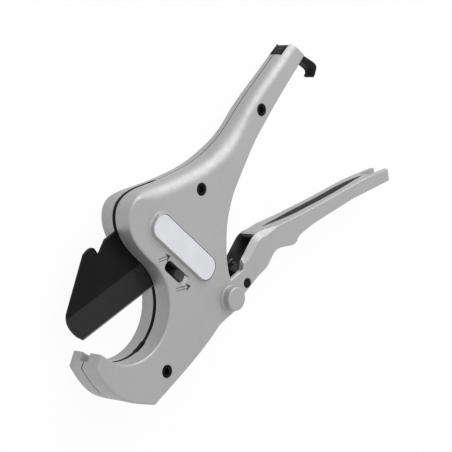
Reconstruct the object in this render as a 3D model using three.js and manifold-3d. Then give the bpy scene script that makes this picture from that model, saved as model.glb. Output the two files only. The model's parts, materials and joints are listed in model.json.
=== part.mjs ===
// Ratchet cutter for plastic pipe, lying on the flat of its rear shell. Millimetres, +Z up.
// Origin: the moving handle's pivot axis at the rear shell's outer face. +X runs along the fixed grip.
import * as THREE from "three";
import { mergeVertices } from "three/addons/utils/BufferGeometryUtils.js";
import Module from "manifold-3d";

const wasm = await Module();
wasm.setup();

// ---------------------------------------------------------------- driving dimensions
const bodyThickness = 25.6;
const partingZ = 12; // height of the joint between the shells, and of the blade's middle
const seam = 0.1; // half of the joint's width
const gap = 0.3; // clearance between neighbouring pieces
const pinGap = 0.15; // radial clearance of a pin in its hole
const cheekWall = 2.4; // shell wall outside each fork cheek
const edgeRadius = 1.5;
const shoulderRadius = 8.5; // rounding of the back's edges behind the jaw
const gripBackRadius = 6.2;
const gripEnd = 160.7; // from the handle pivot to the end of the grip
const gripEndWidth = 14.2;
const gripInnerEnd = 32.7; // inner side of the grip's end above the handle pivot
const gripDrop = 3.4; // how far both faces draw in where the grip leaves the body
const gripTaper = 0.018; // and further for each millimetre towards its end
const gripNeck = [60, 100]; // along X, where the faces draw in

const pipeDiameter = 60;
const jawClearance = 1.8;
const jawWebWidth = 20.2; // from the blade's pivot to the pipe opening
const jawTipWidth = 9.3;
const jawBackWall = 14.1;
const jawFloorWall = 19.3;

const bladePivot = new THREE.Vector2(2.5, 53);
const bladeThickness = 2.3;
const bladeSlotGap = 0.25;
const bladeHubRadius = 13;
const bladePinRadius = 5;
const toothTipRadius = 28.6;
const toothDepth = 2.2;
const toothPitch = 6; // degrees
const bladeShut = 30; // degrees forward from the drawn pose
const edgeAngle = -26.6; // degrees, the cutting edge from tip to heel
const groundWidth = 20;

const handleSwing = 37; // degrees from open to shut
const drivePawlRatio = -1.18; // turn of the drive pawl in the handle for each turn of the handle
const handleAngle = -29; // degrees, line from the pivot to the end of the moving handle
const handleReach = 169.5;
const forkHalf = bodyThickness / 2 - cheekWall - gap; // half width of the fork
const handleEndHalf = 8.1;
const cheekThickness = 3.6;
const handlePinRadius = 4;
const sleeveWall = 1.9; // of the sleeve on the handle's pin
const handleEyeRadius = 8;
const bossRadius = 7.3;
const bossHeight = 5;

const pawlThickness = 4.2;
const pawlPinRadius = 2.2;
const screwHeadRadius = 3.5;
const screwShankRadius = 2;
const screwHeadHeight = 3;
const latchThickness = 8;
const latchPinRadius = 1.6;
const thumbHalf = 5.9; // half width of the latch's thumb piece
const latchPinHalf = 6.8;
const springPostRadius = 1.4;
const washerThickness = 1.2;
const dowelRadius = 2;
const dowelHalf = 4;
const padHeight = 2.4;
const plateThickness = 0.5;
const windowHalfX = 3.1;
const windowHalfY = 8.4;
const spacerHeight = 6.4;
const spacerHalfX = 4;
const spacerHalfZ = 1.9;
const firstTooth = -120; // degrees round the blade's pivot
const lastTooth = 16;

// ---------------------------------------------------------------- places worked out from them
const jawRadius = pipeDiameter / 2 + jawClearance;
const jawCentre = new THREE.Vector2(bladePivot.x - jawWebWidth - jawRadius, bladePivot.y + 13.5);
const middleZ = bodyThickness / 2;
const frontFace = bodyThickness;
const forkSlotLow = middleZ - forkHalf + cheekThickness;
const forkSlotHigh = middleZ + forkHalf - cheekThickness;
const slotHalf = bladeThickness / 2 + bladeSlotGap;
const tipInner = jaw(-jawRadius - 0.3, 2.8);
const bladeTip = jaw(3.9 - jawRadius, 9);
const tipReach = bladeTip.distanceTo(bladePivot);
const bladeReach = tipReach + 3.8; // to the farthest point of the nose
const drivePawlPivot = new THREE.Vector2(16.3, -8.7);
const springPostPlace = new THREE.Vector2(26.5, -3.5);
const holdingPawlPivot = new THREE.Vector2(-13.4, 22.1);
const gripBackEnd = gripInnerEnd + gripEndWidth;
const latchPivot = new THREE.Vector2(gripEnd - 5.2, gripInnerEnd + 4.5);
const thumbFloor = gripInnerEnd + 6.7;
const windowCentre = new THREE.Vector2(bladePivot.x - 15.2, bladePivot.y - 3.4);
const spacerPlace = jaw(-8.6, -jawRadius - 3.2);
const screwPlaces = {
  screw_grip: new THREE.Vector2(gripEnd - 51.2, gripInnerEnd + 12),
  screw_middle: new THREE.Vector2(39, 60.7),
  screw_jaw: jaw(-13.9, -jawRadius - 15.1),
};
const dowelPlaces = {
  dowel_jaw: jaw(-jawRadius - 7.4, -20),
  dowel_grip: new THREE.Vector2(66, 47.5),
};

function jaw(x, y) {
  return new THREE.Vector2(jawCentre.x + x, jawCentre.y + y);
}

function polar(centre, radius, degrees) {
  const angle = THREE.MathUtils.degToRad(degrees);
  return new THREE.Vector2(centre.x + radius * Math.cos(angle), centre.y + radius * Math.sin(angle));
}

// ---------------------------------------------------------------- solids
function solidOf(geometry) {
  const bare = geometry.index ? geometry.toNonIndexed() : geometry.clone();
  bare.deleteAttribute("normal");
  bare.deleteAttribute("uv");
  const merged = mergeVertices(bare, 1e-4);
  const mesh = new wasm.Mesh({
    numProp: 3,
    vertProperties: merged.attributes.position.array,
    triVerts: new Uint32Array(merged.index.array),
  });
  return new wasm.Manifold(mesh);
}

function geometryOf(solid) {
  const { vertProperties, triVerts } = solid.getMesh();
  const geometry = new THREE.BufferGeometry();
  geometry.setAttribute("position", new THREE.BufferAttribute(vertProperties, 3));
  geometry.setIndex(new THREE.BufferAttribute(triVerts, 1));
  const faceted = geometry.toNonIndexed();
  faceted.computeVertexNormals();
  return faceted;
}

function prism(outline, low, high) {
  const shape = outline instanceof THREE.Shape ? outline : new THREE.Shape(outline);
  const options = { depth: high - low, bevelEnabled: false, curveSegments: 10 };
  return solidOf(new THREE.ExtrudeGeometry(shape, options).translate(0, 0, low));
}

function rod(place, radius, low, high, sides = 28) {
  const geometry = new THREE.CylinderGeometry(radius, radius, high - low, sides);
  return solidOf(geometry.rotateX(Math.PI / 2).translate(place.x, place.y, (low + high) / 2));
}

function block(x0, x1, y0, y1, z0, z1) {
  const geometry = new THREE.BoxGeometry(x1 - x0, y1 - y0, z1 - z0);
  return solidOf(geometry.translate((x0 + x1) / 2, (y0 + y1) / 2, (z0 + z1) / 2));
}

function turned(profile, place, sides = 28) {
  const points = profile.map(([radius, z]) => new THREE.Vector2(radius, z));
  const geometry = new THREE.LatheGeometry(points, sides).rotateX(Math.PI / 2);
  return solidOf(geometry.translate(place.x, place.y, 0));
}

function ring(place, inner, outer, low, high, sides = 28) {
  return rod(place, outer, low, high, sides).subtract(rod(place, inner, low - 1, high + 1, sides));
}

function joined(solids) {
  return solids.reduce((sum, solid) => sum.add(solid));
}

function vectors(pairs) {
  return pairs.map(([x, y]) => new THREE.Vector2(x, y));
}

function roundedBox(centre, halfX, halfY, radius) {
  const shape = new THREE.Shape();
  const [x, y] = [halfX - radius, halfY - radius];
  shape.absarc(centre.x + x, centre.y + y, radius, 0, Math.PI / 2);
  shape.absarc(centre.x - x, centre.y + y, radius, Math.PI / 2, Math.PI);
  shape.absarc(centre.x - x, centre.y - y, radius, Math.PI, 1.5 * Math.PI);
  shape.absarc(centre.x + x, centre.y - y, radius, 1.5 * Math.PI, 2 * Math.PI);
  return shape;
}

// ---------------------------------------------------------------- body shells
// The outline of the body at the parting plane, counterclockwise from the tip of the jaw.
function bodyOutline() {
  const path = new THREE.Path();
  const tipOuter = tipInner.clone().add(new THREE.Vector2(-jawTipWidth, -2.2));
  const bulge = jaw(-jawRadius - jawBackWall, -20.5);
  const corner = jaw(-jawRadius - 2.7, -jawRadius - jawFloorWall);
  const to = (a, b, end) => path.bezierCurveTo(a.x, a.y, b.x, b.y, end.x, end.y);
  const at = (x, y) => new THREE.Vector2(x, y);
  const lobe = handleEyeRadius + 1.4;
  const gripOut = gripEnd + 16;
  const jawSide = jaw(jawRadius * Math.cos(0.056), jawRadius * Math.sin(0.056));
  path.moveTo(tipOuter.x, tipOuter.y);
  to(at(bulge.x + 2.2, tipOuter.y - 6.6), at(bulge.x, bulge.y + 7), bulge);
  to(at(bulge.x, bulge.y - 9), at(corner.x - 6.2, corner.y + 11.3), corner);
  to(at(corner.x + 18.6, corner.y - 5.8), at(-42, 1.2), at(-20, -1.8));
  to(at(-15, -2.7), at(-9.5, -6), polar(at(0, 0), lobe, -126));
  path.absarc(0, 0, lobe, THREE.MathUtils.degToRad(-126), THREE.MathUtils.degToRad(-15));
  path.lineTo(17.6, 3.4);
  path.lineTo(9.6, 6.9);
  to(at(12, 12.5), at(20, 20), at(29.8, 26.4));
  to(at(41, 33.8), at(54, 38), at(73, 37.9));
  to(at(85, 37.8), at(98, 37.3), at(112, 36.6));
  to(at(124, 36), at(138, gripInnerEnd + 2), at(gripEnd - 10, gripInnerEnd + 0.7));
  path.lineTo(gripOut, gripInnerEnd - 1.1);
  path.lineTo(gripOut, gripBackEnd - 2.3);
  path.lineTo(gripEnd - 26, gripBackEnd + 3.9);
  to(at(gripEnd - 35, gripBackEnd + 5.2), at(114, 54.6), at(100, 55.5));
  to(at(88, 56.2), at(75, 57), at(58.5, 64.8));
  to(at(48.5, 69.1), at(31, 82.2), at(21.7, 90.2));
  to(at(15.5, 95.6), at(8.5, 101), at(1, 101.2));
  to(at(-7, 101.3), at(jawSide.x + 3.6, 93), at(jawSide.x + 1.6, 84));
  to(at(jawSide.x + 0.6, 79.5), at(jawSide.x, 74), jawSide);
  path.absarc(jawCentre.x, jawCentre.y, jawRadius, 0.056, THREE.MathUtils.degToRad(-166.8), true);
  path.lineTo(tipInner.x, tipInner.y);
  path.closePath();
  return path;
}

// Points along a path: evenly spaced on its curves, only the ends of its straights.
function walk(path, curveStep) {
  const points = [];
  for (const curve of path.curves) {
    const count = curve.isLineCurve ? 1 : Math.max(1, Math.round(curve.getLength() / curveStep));
    points.push(...curve.getPoints(count).slice(0, -1));
  }
  return points.filter((point, i) => point.distanceTo(points[(i + 1) % points.length]) > 0.05);
}

// The rounding of the outer edge: small round the jaw, large behind the shoulder and along the grip's back.
function edgeRadiusAt(point) {
  const { lerp, smoothstep } = THREE.MathUtils;
  const back = point.x > 2 && point.y > (point.x > 60 ? 42 : 60);
  if (!back) return edgeRadius;
  const large = lerp(shoulderRadius, gripBackRadius, smoothstep(point.x, 76, 105));
  return lerp(edgeRadius, large, smoothstep(point.x, 2, 20));
}

// How far the faces of body and grip lie below those of the jaw.
function faceDrop(x) {
  const [start, end] = gripNeck;
  return THREE.MathUtils.smoothstep(x, start, end) * gripDrop + Math.max(0, x - end) * gripTaper;
}

// A half body: the outline at the parting plane, drawn in by a quarter round towards the outer face.
function halfBody(insideFace, outerFace) {
  const outline = walk(bodyOutline(), 5);
  const count = outline.length;
  const up = Math.sign(outerFace - insideFace);
  const thinning = (x) => 1 - faceDrop(x) / Math.abs(outerFace - insideFace);
  const steps = 4;
  const inward = outline.map((point, i) => {
    const before = point.clone().sub(outline[(i + count - 1) % count]).normalize();
    const after = outline[(i + 1) % count].clone().sub(point).normalize();
    const sum = before.clone().add(after);
    return new THREE.Vector2(-sum.y, sum.x).divideScalar(1 + before.dot(after));
  });
  const rings = [outline.map((point) => [point.x, point.y, insideFace])];
  for (let step = 0; step <= steps; step++) {
    const angle = ((step / steps) * Math.PI) / 2;
    const drawn = outline.map((point, i) => {
      const radius = edgeRadiusAt(point);
      const inset = radius * (1 - Math.cos(angle));
      const z = outerFace - (up * radius * (1 - Math.sin(angle))) / thinning(point.x);
      return [point.x + inward[i].x * inset, point.y + inward[i].y * inset, z];
    });
    rings.push(drawn);
  }
  const faces = [];
  const add = (a, b, c) => faces.push(...(up > 0 ? [a, b, c] : [a, c, b]));
  for (let level = 0; level + 1 < rings.length; level++)
    for (let i = 0; i < count; i++) {
      const [a, b] = [level * count + i, level * count + ((i + 1) % count)];
      add(a, b, b + count);
      add(a, b + count, a + count);
    }
  const cap = (level, turn) => {
    const contour = rings[level].map(([x, y]) => new THREE.Vector2(x, y));
    for (const [a, b, c] of THREE.ShapeUtils.triangulateShape(contour, [])) {
      const base = level * count;
      add(base + a, base + (turn ? c : b), base + (turn ? b : c));
    }
  };
  cap(0, true);
  cap(rings.length - 1, false);
  const geometry = new THREE.BufferGeometry();
  geometry.setAttribute("position", new THREE.Float32BufferAttribute(rings.flat(2), 3));
  geometry.setIndex(faces);
  const patchLength = 12;
  const thinned = solidOf(geometry).refineToLength(patchLength).warp((vertex) => {
    vertex[2] = insideFace + (vertex[2] - insideFace) * thinning(vertex[0]);
  });
  return thinned.subtract(gripEndCut());
}

// Everything past the end of the grip, cut at a slight slant.
function gripEndCut() {
  const beyond = 40;
  const outline = vectors([
    [gripEnd, gripInnerEnd - 3],
    [gripEnd + beyond, gripInnerEnd - 3],
    [gripEnd + beyond, gripBackEnd + 3],
    [gripEnd - 0.8, gripBackEnd + 3],
  ]);
  return prism(outline, -1, frontFace + 1);
}

// Where the blade swings: the slot through jaw, web and shoulder.
function bladeSlot() {
  const shutTip = polar(bladePivot, tipReach, bladeAngle(bladeTip) + bladeShut);
  const shutSlope = Math.tan(THREE.MathUtils.degToRad(edgeAngle + bladeShut));
  const floor = (x) => shutTip.y - 1.5 + (x - shutTip.x) * shutSlope;
  const shoulder = polar(bladePivot, 75, 51);
  const swept = prism(
    [
      new THREE.Vector2(shutTip.x - 14, floor(shutTip.x - 14)),
      new THREE.Vector2(24, floor(24)),
      bladePivot,
      shoulder,
      new THREE.Vector2(shoulder.x, shoulder.y + 30),
      new THREE.Vector2(shutTip.x - 14, shoulder.y + 30),
    ],
    partingZ - slotHalf,
    partingZ + slotHalf,
  );
  const [low, high] = [partingZ - slotHalf, partingZ + slotHalf];
  const reach = rod(bladePivot, bladeReach + 1, low - 1, high + 1, 120);
  return swept.intersect(reach).add(rod(bladePivot, toothTipRadius + 1.2, low, high, 60));
}

function bladeAngle(point) {
  return THREE.MathUtils.radToDeg(Math.atan2(point.y - bladePivot.y, point.x - bladePivot.x));
}

// The room for blade root, pawls and fork inside the body.
function mechanismRoom() {
  const [low, high] = [6.4, frontFace - 6.4];
  const floor = vectors([
    [-30, 13],
    [-10, 11.4],
    [8, 12.6],
    [9.5, 17],
    [15, 24],
    [28, 32.5],
    [37, 37],
    [37, 50],
    [30, 58],
    [-8, 58],
    [-30, 31],
  ]);
  const room = prism(floor, low, high).add(rod(bladePivot, toothTipRadius + 1.6, low, high, 60));
  const jawWall = rod(jawCentre, jawRadius + 3.2, low - 1, high + 1, 60);
  const screwPost = rod(screwPlaces.screw_middle, 5.4, low - 1, high + 1);
  const throat = prism(vectors([[6, 9], [22, 9], [34, 26], [30, 36], [12, 24]]), 8.8, 15.2);
  return room.subtract(jawWall).subtract(screwPost).add(throat);
}

function forkRoom() {
  const [low, high] = [cheekWall, frontFace - cheekWall];
  const sweep = vectors([[-2, -14], [30, -20], [30, 12.4], [13, 12.4], [0, handleEyeRadius + 2.2]]);
  const eye = rod(new THREE.Vector2(), handleEyeRadius + 2.2, low, high);
  return prism(sweep, low, high).add(eye);
}

function gripRoom() {
  const [low, high] = [8.2, frontFace - 8.2];
  const hollow = prism(
    vectors([
      [78, 41.6],
      [gripEnd - 24, gripInnerEnd + 5.8],
      [gripEnd - 24, gripBackEnd - 1],
      [78, 53],
    ]),
    low,
    high,
  );
  return hollow.subtract(rod(screwPlaces.screw_grip, 5.4, low - 1, high + 1));
}

// The notch for the latch: wide under the thumb piece, narrow for the arm, open at end and inner side.
function latchRoom() {
  const half = latchThickness / 2 + gap;
  const [low, high] = [middleZ - half, middleZ + half];
  const arm = block(gripEnd - 12.2, gripEnd + 6, gripInnerEnd - 3, gripInnerEnd + 9, low, high);
  const thumb = block(
    gripEnd - 11.1,
    gripEnd + 6,
    thumbFloor,
    gripBackEnd + 4,
    middleZ - thumbHalf - gap,
    middleZ + thumbHalf + gap,
  );
  return arm.add(thumb);
}

function jawGuide() {
  const [low, high] = [partingZ - 3.5, partingZ + 3.5];
  const outline = [
    new THREE.Vector2(tipInner.x - 5.3, tipInner.y - 4.4),
    new THREE.Vector2(tipInner.x + 2, tipInner.y - 4.8),
    new THREE.Vector2(tipInner.x + 2, tipInner.y + 5),
    new THREE.Vector2(tipInner.x - 5.3, tipInner.y + 5),
  ];
  return prism(outline, low, high);
}

function spacerPocket() {
  const half = spacerHalfX + gap;
  return block(
    spacerPlace.x - half,
    spacerPlace.x + half,
    spacerPlace.y - spacerHeight - gap,
    spacerPlace.y + 8,
    partingZ - spacerHalfZ - gap,
    partingZ + spacerHalfZ + gap,
  );
}

function labelOutline(margin) {
  return roundedBox(bladePivot, 7.5 + margin, 28.5 + margin, 6.4 + margin);
}

function raisedPad() {
  const foot = prism(labelOutline(1.5), frontFace - 2, frontFace + 0.6);
  const middle = prism(labelOutline(0.8), frontFace - 2, frontFace + padHeight - 0.4);
  return foot.add(middle).add(prism(labelOutline(0.4), frontFace - 2, frontFace + padHeight));
}

function pivotBoss() {
  const top = frontFace + bossHeight;
  const profile = [
    [0, frontFace - cheekWall],
    [bossRadius + 1.5, frontFace - cheekWall],
    [bossRadius + 1.5, frontFace],
    [bossRadius + 0.5, frontFace + 0.5],
    [bossRadius, frontFace + 1.5],
    [bossRadius, top - 1],
    [bossRadius - 0.3, top - 0.3],
    [bossRadius - 1, top],
    [0, top],
  ];
  return turned(profile, new THREE.Vector2(), 48);
}

function hubPost(low, high) {
  return rod(bladePivot, 9, low, high);
}

function pawlPost(low, high) {
  return rod(holdingPawlPivot, 4.4, low, high);
}

function sharedCuts() {
  return joined([bladeSlot(), gripRoom(), forkRoom(), latchRoom(), jawGuide(), spacerPocket()]);
}

function frontShell() {
  const inside = partingZ + seam;
  const washerTop = partingZ + bladeThickness / 2 + 2 * gap + washerThickness;
  const pawlTop = partingZ + pawlThickness / 2 + gap;
  let shell = halfBody(inside, frontFace).add(raisedPad()).add(pivotBoss());
  shell = shell.subtract(sharedCuts()).subtract(mechanismRoom());
  shell = shell.add(hubPost(washerTop, frontFace - 5)).add(pawlPost(pawlTop, frontFace - 5));
  const plateSeat = prism(labelOutline(gap), frontFace + padHeight - plateThickness - 0.1, frontFace + 9);
  const window = block(
    windowCentre.x - windowHalfX,
    windowCentre.x + windowHalfX,
    windowCentre.y - windowHalfY,
    windowCentre.y + windowHalfY,
    partingZ + slotHalf,
    frontFace + 1,
  );
  const cuts = [
    plateSeat,
    window,
    fingerScoop(),
    rod(bladePivot, bladePinRadius + pinGap, inside - 1, frontFace - 4),
    rod(new THREE.Vector2(), handlePinRadius + pinGap, inside - 1, frontFace + bossHeight - 2),
    rod(holdingPawlPivot, pawlPinRadius + pinGap, inside - 1, frontFace - 4.6),
    rod(latchPivot, latchPinRadius + pinGap, inside - 1, middleZ + latchPinHalf + gap, 24),
  ];
  for (const place of Object.values(screwPlaces)) {
    cuts.push(rod(place, screwHeadRadius + gap, screwSeat(place) - gap, frontFace + 3));
    cuts.push(rod(place, screwShankRadius + pinGap, inside - 1, frontFace));
  }
  for (const place of Object.values(dowelPlaces))
    cuts.push(rod(place, dowelRadius + pinGap, inside - 1, partingZ + dowelHalf + gap, 24));
  return cuts.reduce((solid, cut) => solid.subtract(cut), shell);
}

// The scoop that lets a finger push the slider back: a ramp down to the window's lower end.
function fingerScoop() {
  const scoop = new THREE.CylinderGeometry(7, 7, 2 * windowHalfX, 40).rotateZ(Math.PI / 2);
  scoop.translate(windowCentre.x, windowCentre.y - windowHalfY + 1.2, frontFace + 4.4);
  return solidOf(scoop);
}

function rearShell() {
  const inside = partingZ - seam;
  const washerLow = partingZ - bladeThickness / 2 - 2 * gap - washerThickness;
  const pawlLow = 6.7; // room above it for the holding pawl's spring
  let shell = halfBody(inside, 0).subtract(sharedCuts()).subtract(mechanismRoom());
  shell = shell.add(hubPost(5, washerLow)).add(pawlPost(5, pawlLow));
  const cuts = [
    rod(bladePivot, bladePinRadius + pinGap, 3, inside + 1),
    rod(new THREE.Vector2(), handlePinRadius + pinGap, 1, inside + 1),
    rod(holdingPawlPivot, pawlPinRadius + pinGap, 4, inside + 1),
    rod(latchPivot, latchPinRadius + pinGap, middleZ - latchPinHalf - gap, inside + 1, 24),
  ];
  for (const place of Object.values(screwPlaces))
    cuts.push(rod(place, screwShankRadius + pinGap, screwPoint(place) - gap, inside + 1));
  for (const place of Object.values(dowelPlaces))
    cuts.push(rod(place, dowelRadius + pinGap, partingZ - dowelHalf - gap, inside + 1, 24));
  return cuts.reduce((solid, cut) => solid.subtract(cut), shell);
}

// ---------------------------------------------------------------- blade
function bladeOutline() {
  const shape = new THREE.Shape();
  const lift = (x, y) => bladeTip.clone().add(new THREE.Vector2(x, y));
  const line = (p) => shape.lineTo(p.x, p.y);
  const heel = lift(65, 65 * Math.tan(THREE.MathUtils.degToRad(edgeAngle)));
  const root = toothTipRadius - toothDepth;
  shape.moveTo(bladeTip.x, bladeTip.y);
  line(heel);
  line(polar(bladePivot, root, firstTooth));
  for (let angle = firstTooth; angle < lastTooth; angle += toothPitch) {
    line(polar(bladePivot, toothTipRadius, angle + 0.6));
    line(polar(bladePivot, root, angle + toothPitch));
  }
  line(polar(bladePivot, bladeHubRadius + 5, lastTooth + 22));
  line(polar(bladePivot, bladeHubRadius, lastTooth + 52));
  line(polar(bladePivot, 34, 101));
  const neck = lift(jawRadius + 32, 17.2);
  const notch = lift(jawRadius + 14, 19.8);
  shape.quadraticCurveTo(neck.x + 5, neck.y - 2.4, neck.x, neck.y);
  line(lift(jawRadius + 24.1, 21));
  line(notch);
  line(lift(jawRadius + 15.2, 25.6));
  const brow = lift(jawRadius + 7.9, 29.2);
  const crest = lift(jawRadius + 14.4, 28.4);
  shape.quadraticCurveTo(crest.x, crest.y, brow.x, brow.y);
  const nose = lift(5.9, 19.4);
  line(nose);
  const chin = lift(-0.9, 5);
  shape.bezierCurveTo(nose.x - 5.4, nose.y - 2.3, chin.x - 0.3, chin.y + 5.5, chin.x, chin.y);
  shape.closePath();
  return shape;
}

// A prism whose outline lies across the cutting edge: x into the blade, y up, drawn along the edge.
function alongEdge(outline, start, length) {
  const slope = THREE.MathUtils.degToRad(edgeAngle);
  const along = new THREE.Vector3(Math.cos(slope), Math.sin(slope), 0);
  const into = new THREE.Vector3(-along.y, along.x, 0);
  const place = new THREE.Matrix4().makeBasis(into, new THREE.Vector3(0, 0, 1), along);
  place.setPosition(bladeTip.x + along.x * start, bladeTip.y + along.y * start, partingZ);
  const options = { depth: length, bevelEnabled: false };
  return solidOf(new THREE.ExtrudeGeometry(new THREE.Shape(outline), options).applyMatrix4(place));
}

// The blade: the plate with its toothed root, its edge ground to a wedge from both sides.
function blade() {
  const half = bladeThickness / 2;
  const edgeHalf = 0.15;
  let plate = prism(bladeOutline(), partingZ - half, partingZ + half);
  plate = plate.subtract(rod(bladePivot, bladePinRadius + pinGap, partingZ - 5, partingZ + 5));
  for (const side of [1, -1]) {
    const ground = vectors([
      [-4, side * edgeHalf],
      [0, side * edgeHalf],
      [groundWidth, side * half],
      [groundWidth, side * (half + 1)],
      [-4, side * (half + 1)],
    ]);
    plate = plate.subtract(alongEdge(ground, -12, 82));
  }
  return plate;
}

function bladeWasher(low) {
  return ring(bladePivot, bladePinRadius + pinGap, 8.6, low, low + washerThickness);
}

// ---------------------------------------------------------------- moving handle
// Drawn along its own line: u from the pivot to the end, v towards the fixed grip.
function handleOutline() {
  const path = new THREE.Path();
  const u = (back) => handleReach - back;
  const eye = handleEyeRadius;
  path.moveTo(eye * Math.cos(1.31), eye * Math.sin(1.31));
  path.absarc(0, 0, eye, 1.31, THREE.MathUtils.degToRad(286));
  path.lineTo(28.7, -0.7);
  const fingerHump = [[38.2, 1], [43, 3.6], [47.9, 6.1], [53.1, 6.4], [60, 4.2], [65.4, 2.3], [69.5, 2.8]];
  path.splineThru(vectors(fingerHump));
  path.splineThru(vectors([[73.1, 5], [86, 5.6], [u(70), 4.9], [u(39.8), 2.7]]));
  path.lineTo(u(1.8), -2.8);
  path.lineTo(u(0), 5.1);
  path.splineThru(vectors([[u(23.5), 9.4], [u(39.5), 11.4], [u(61.5), 13.6], [76, 17.6], [55, 20.9]]));
  path.lineTo(42, 23.2);
  path.lineTo(36, 22.3);
  path.lineTo(21.5, 14.2);
  path.lineTo(18.3, 9.6);
  path.closePath();
  return walk(path, 5);
}

function handleFrame(point) {
  return point.clone().rotateAround(new THREE.Vector2(), THREE.MathUtils.degToRad(-handleAngle));
}

// The fork is full width; the rest narrows in two straights towards the end.
function handleTaper() {
  const side = [[-20, forkHalf], [60, forkHalf], [110, 9.2], [handleReach + 4, handleEndHalf]];
  const outline = vectors([...side, ...side.map(([x, y]) => [x, -y]).reverse()]);
  const geometry = new THREE.ExtrudeGeometry(new THREE.Shape(outline), { depth: 70, bevelEnabled: false });
  return solidOf(geometry.rotateX(Math.PI / 2).translate(0, 45, middleZ));
}

function movingHandle() {
  const [low, high] = [middleZ - forkHalf, middleZ + forkHalf];
  const end = handleReach;
  const groove = vectors([
    [56, 30],
    [57, 21],
    [68, 13],
    [end - 61.5, 8.4],
    [end - 37.5, 6.2],
    [end - 22.5, 5.4],
    [end - 18.5, 8.9],
    [end - 18.5, 30],
  ]);
  const grooveHalf = 3.3;
  const notchHalf = latchThickness / 2 + 0.6;
  const pawlPin = handleFrame(drivePawlPivot);
  const post = handleFrame(springPostPlace);
  const cuts = [
    block(-14, 39.5, -20, 40, forkSlotLow, forkSlotHigh),
    prism(groove, middleZ - grooveHalf, middleZ + grooveHalf),
    block(end - 14.5, end + 5, -20, 40, middleZ - notchHalf, middleZ + notchHalf),
    rod(new THREE.Vector2(), handlePinRadius + pinGap, low - 1, high + 1),
    rod(pawlPin, pawlPinRadius + pinGap, low + 0.8, high + 1),
    rod(pawlPin, pawlPinRadius + 1, high - 0.9, high + 1),
    rod(post, springPostRadius + pinGap, low + 0.8, forkSlotLow + 1, 20),
  ];
  const bar = prism(handleOutline(), low, high).intersect(handleTaper());
  return cuts.reduce((solid, cut) => solid.subtract(cut), bar);
}

function pivotSleeve() {
  const inner = handlePinRadius + pinGap;
  return ring(new THREE.Vector2(), inner, inner + sleeveWall, forkSlotLow + gap, forkSlotHigh - gap);
}

// ---------------------------------------------------------------- wire springs
function wire(points, radius, steps, sides = 8) {
  const section = new THREE.Shape();
  const turn = (2 * Math.PI) / sides;
  for (let i = 0; i < sides; i++) {
    const [x, y] = [radius * Math.cos(i * turn), radius * Math.sin(i * turn)];
    if (i) section.lineTo(x, y);
    else section.moveTo(x, y);
  }
  const extrudePath = new THREE.CatmullRomCurve3(points, false, "centripetal");
  return solidOf(new THREE.ExtrudeGeometry(section, { steps, extrudePath }));
}

// A coil round a pin, with a straight leg leaving it at each end.
function torsionSpring({ radius, wireRadius, low, high, turns, startAngle, firstLeg, lastLeg }) {
  const perTurn = 12;
  const count = Math.round(turns * perTurn);
  const coil = [];
  for (let i = 0; i <= count; i++) {
    const angle = THREE.MathUtils.degToRad(startAngle) + (i / perTurn) * 2 * Math.PI;
    const z = THREE.MathUtils.lerp(high, low, i / count);
    coil.push(new THREE.Vector3(radius * Math.cos(angle), radius * Math.sin(angle), z));
  }
  const tangent = (degrees) => {
    const angle = THREE.MathUtils.degToRad(degrees);
    return new THREE.Vector3(-Math.sin(angle), Math.cos(angle), 0);
  };
  const first = coil[0].clone().addScaledVector(tangent(startAngle), -firstLeg);
  const firstMiddle = coil[0].clone().addScaledVector(tangent(startAngle), -firstLeg / 2);
  const last = coil[count].clone().addScaledVector(tangent(startAngle + turns * 360), lastLeg);
  return wire([first, firstMiddle, ...coil, last], wireRadius, count + 8);
}

// ---------------------------------------------------------------- pawls
function drivePawl() {
  const reach = toothTipRadius + 0.6;
  const tipAngle = -45;
  const arm = [
    ...vectors([[12.3, -6.2], [20.8, -7], [18.2, 5], [20.6, 15.5], [23.6, 22.8], [27, 30]]),
    polar(bladePivot, reach + 2.4, tipAngle + 4.4),
    polar(bladePivot, reach, tipAngle),
    ...vectors([[19, 31], [14, 24], [13, 16], [11.9, 5]]),
  ];
  const hubHalf = 3.8;
  const half = pawlThickness / 2;
  const hub = rod(drivePawlPivot, 4.8, middleZ - hubHalf, middleZ + hubHalf);
  const bore = rod(drivePawlPivot, pawlPinRadius + pinGap, 0, bodyThickness);
  const hook = toothCircles().reduce(
    (solid, centre) => solid.subtract(rod(centre, reach - 0.2, 0, bodyThickness, 90)),
    prism(arm, partingZ - half, partingZ + half),
  );
  return hook.add(hub).subtract(bore);
}

// Where the blade's pivot lies, as the drive pawl sees it, from the handle's open stop to its shut one.
function toothCircles() {
  const turned = (point, centre, degrees) =>
    point.clone().rotateAround(centre, THREE.MathUtils.degToRad(degrees));
  return [0, 0.25, 0.5, 0.75, 1].map((part) => {
    const handleTurn = handleSwing * part;
    const inHandle = turned(bladePivot, new THREE.Vector2(), -handleTurn);
    return turned(inHandle, drivePawlPivot, -drivePawlRatio * handleTurn);
  });
}

function holdingPawl() {
  const tip = polar(bladePivot, toothTipRadius + 0.6, -84);
  const body = [
    ...vectors([[-16, 19.2], [-11, 17.9], [-2, 19.4], [6.3, 21.3]]),
    tip,
    ...vectors([[2.5, 22.6], [-3, 23.2], [-10, 25.3], [-17, 24.6], [-25.2, 24.4], [-25.2, 19.7]]),
  ];
  const half = pawlThickness / 2;
  const eye = rod(holdingPawlPivot, 4.3, partingZ - half, partingZ + half);
  const bore = rod(holdingPawlPivot, pawlPinRadius + pinGap, 0, bodyThickness);
  return prism(body, partingZ - half, partingZ + half).add(eye).subtract(bore);
}

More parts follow.
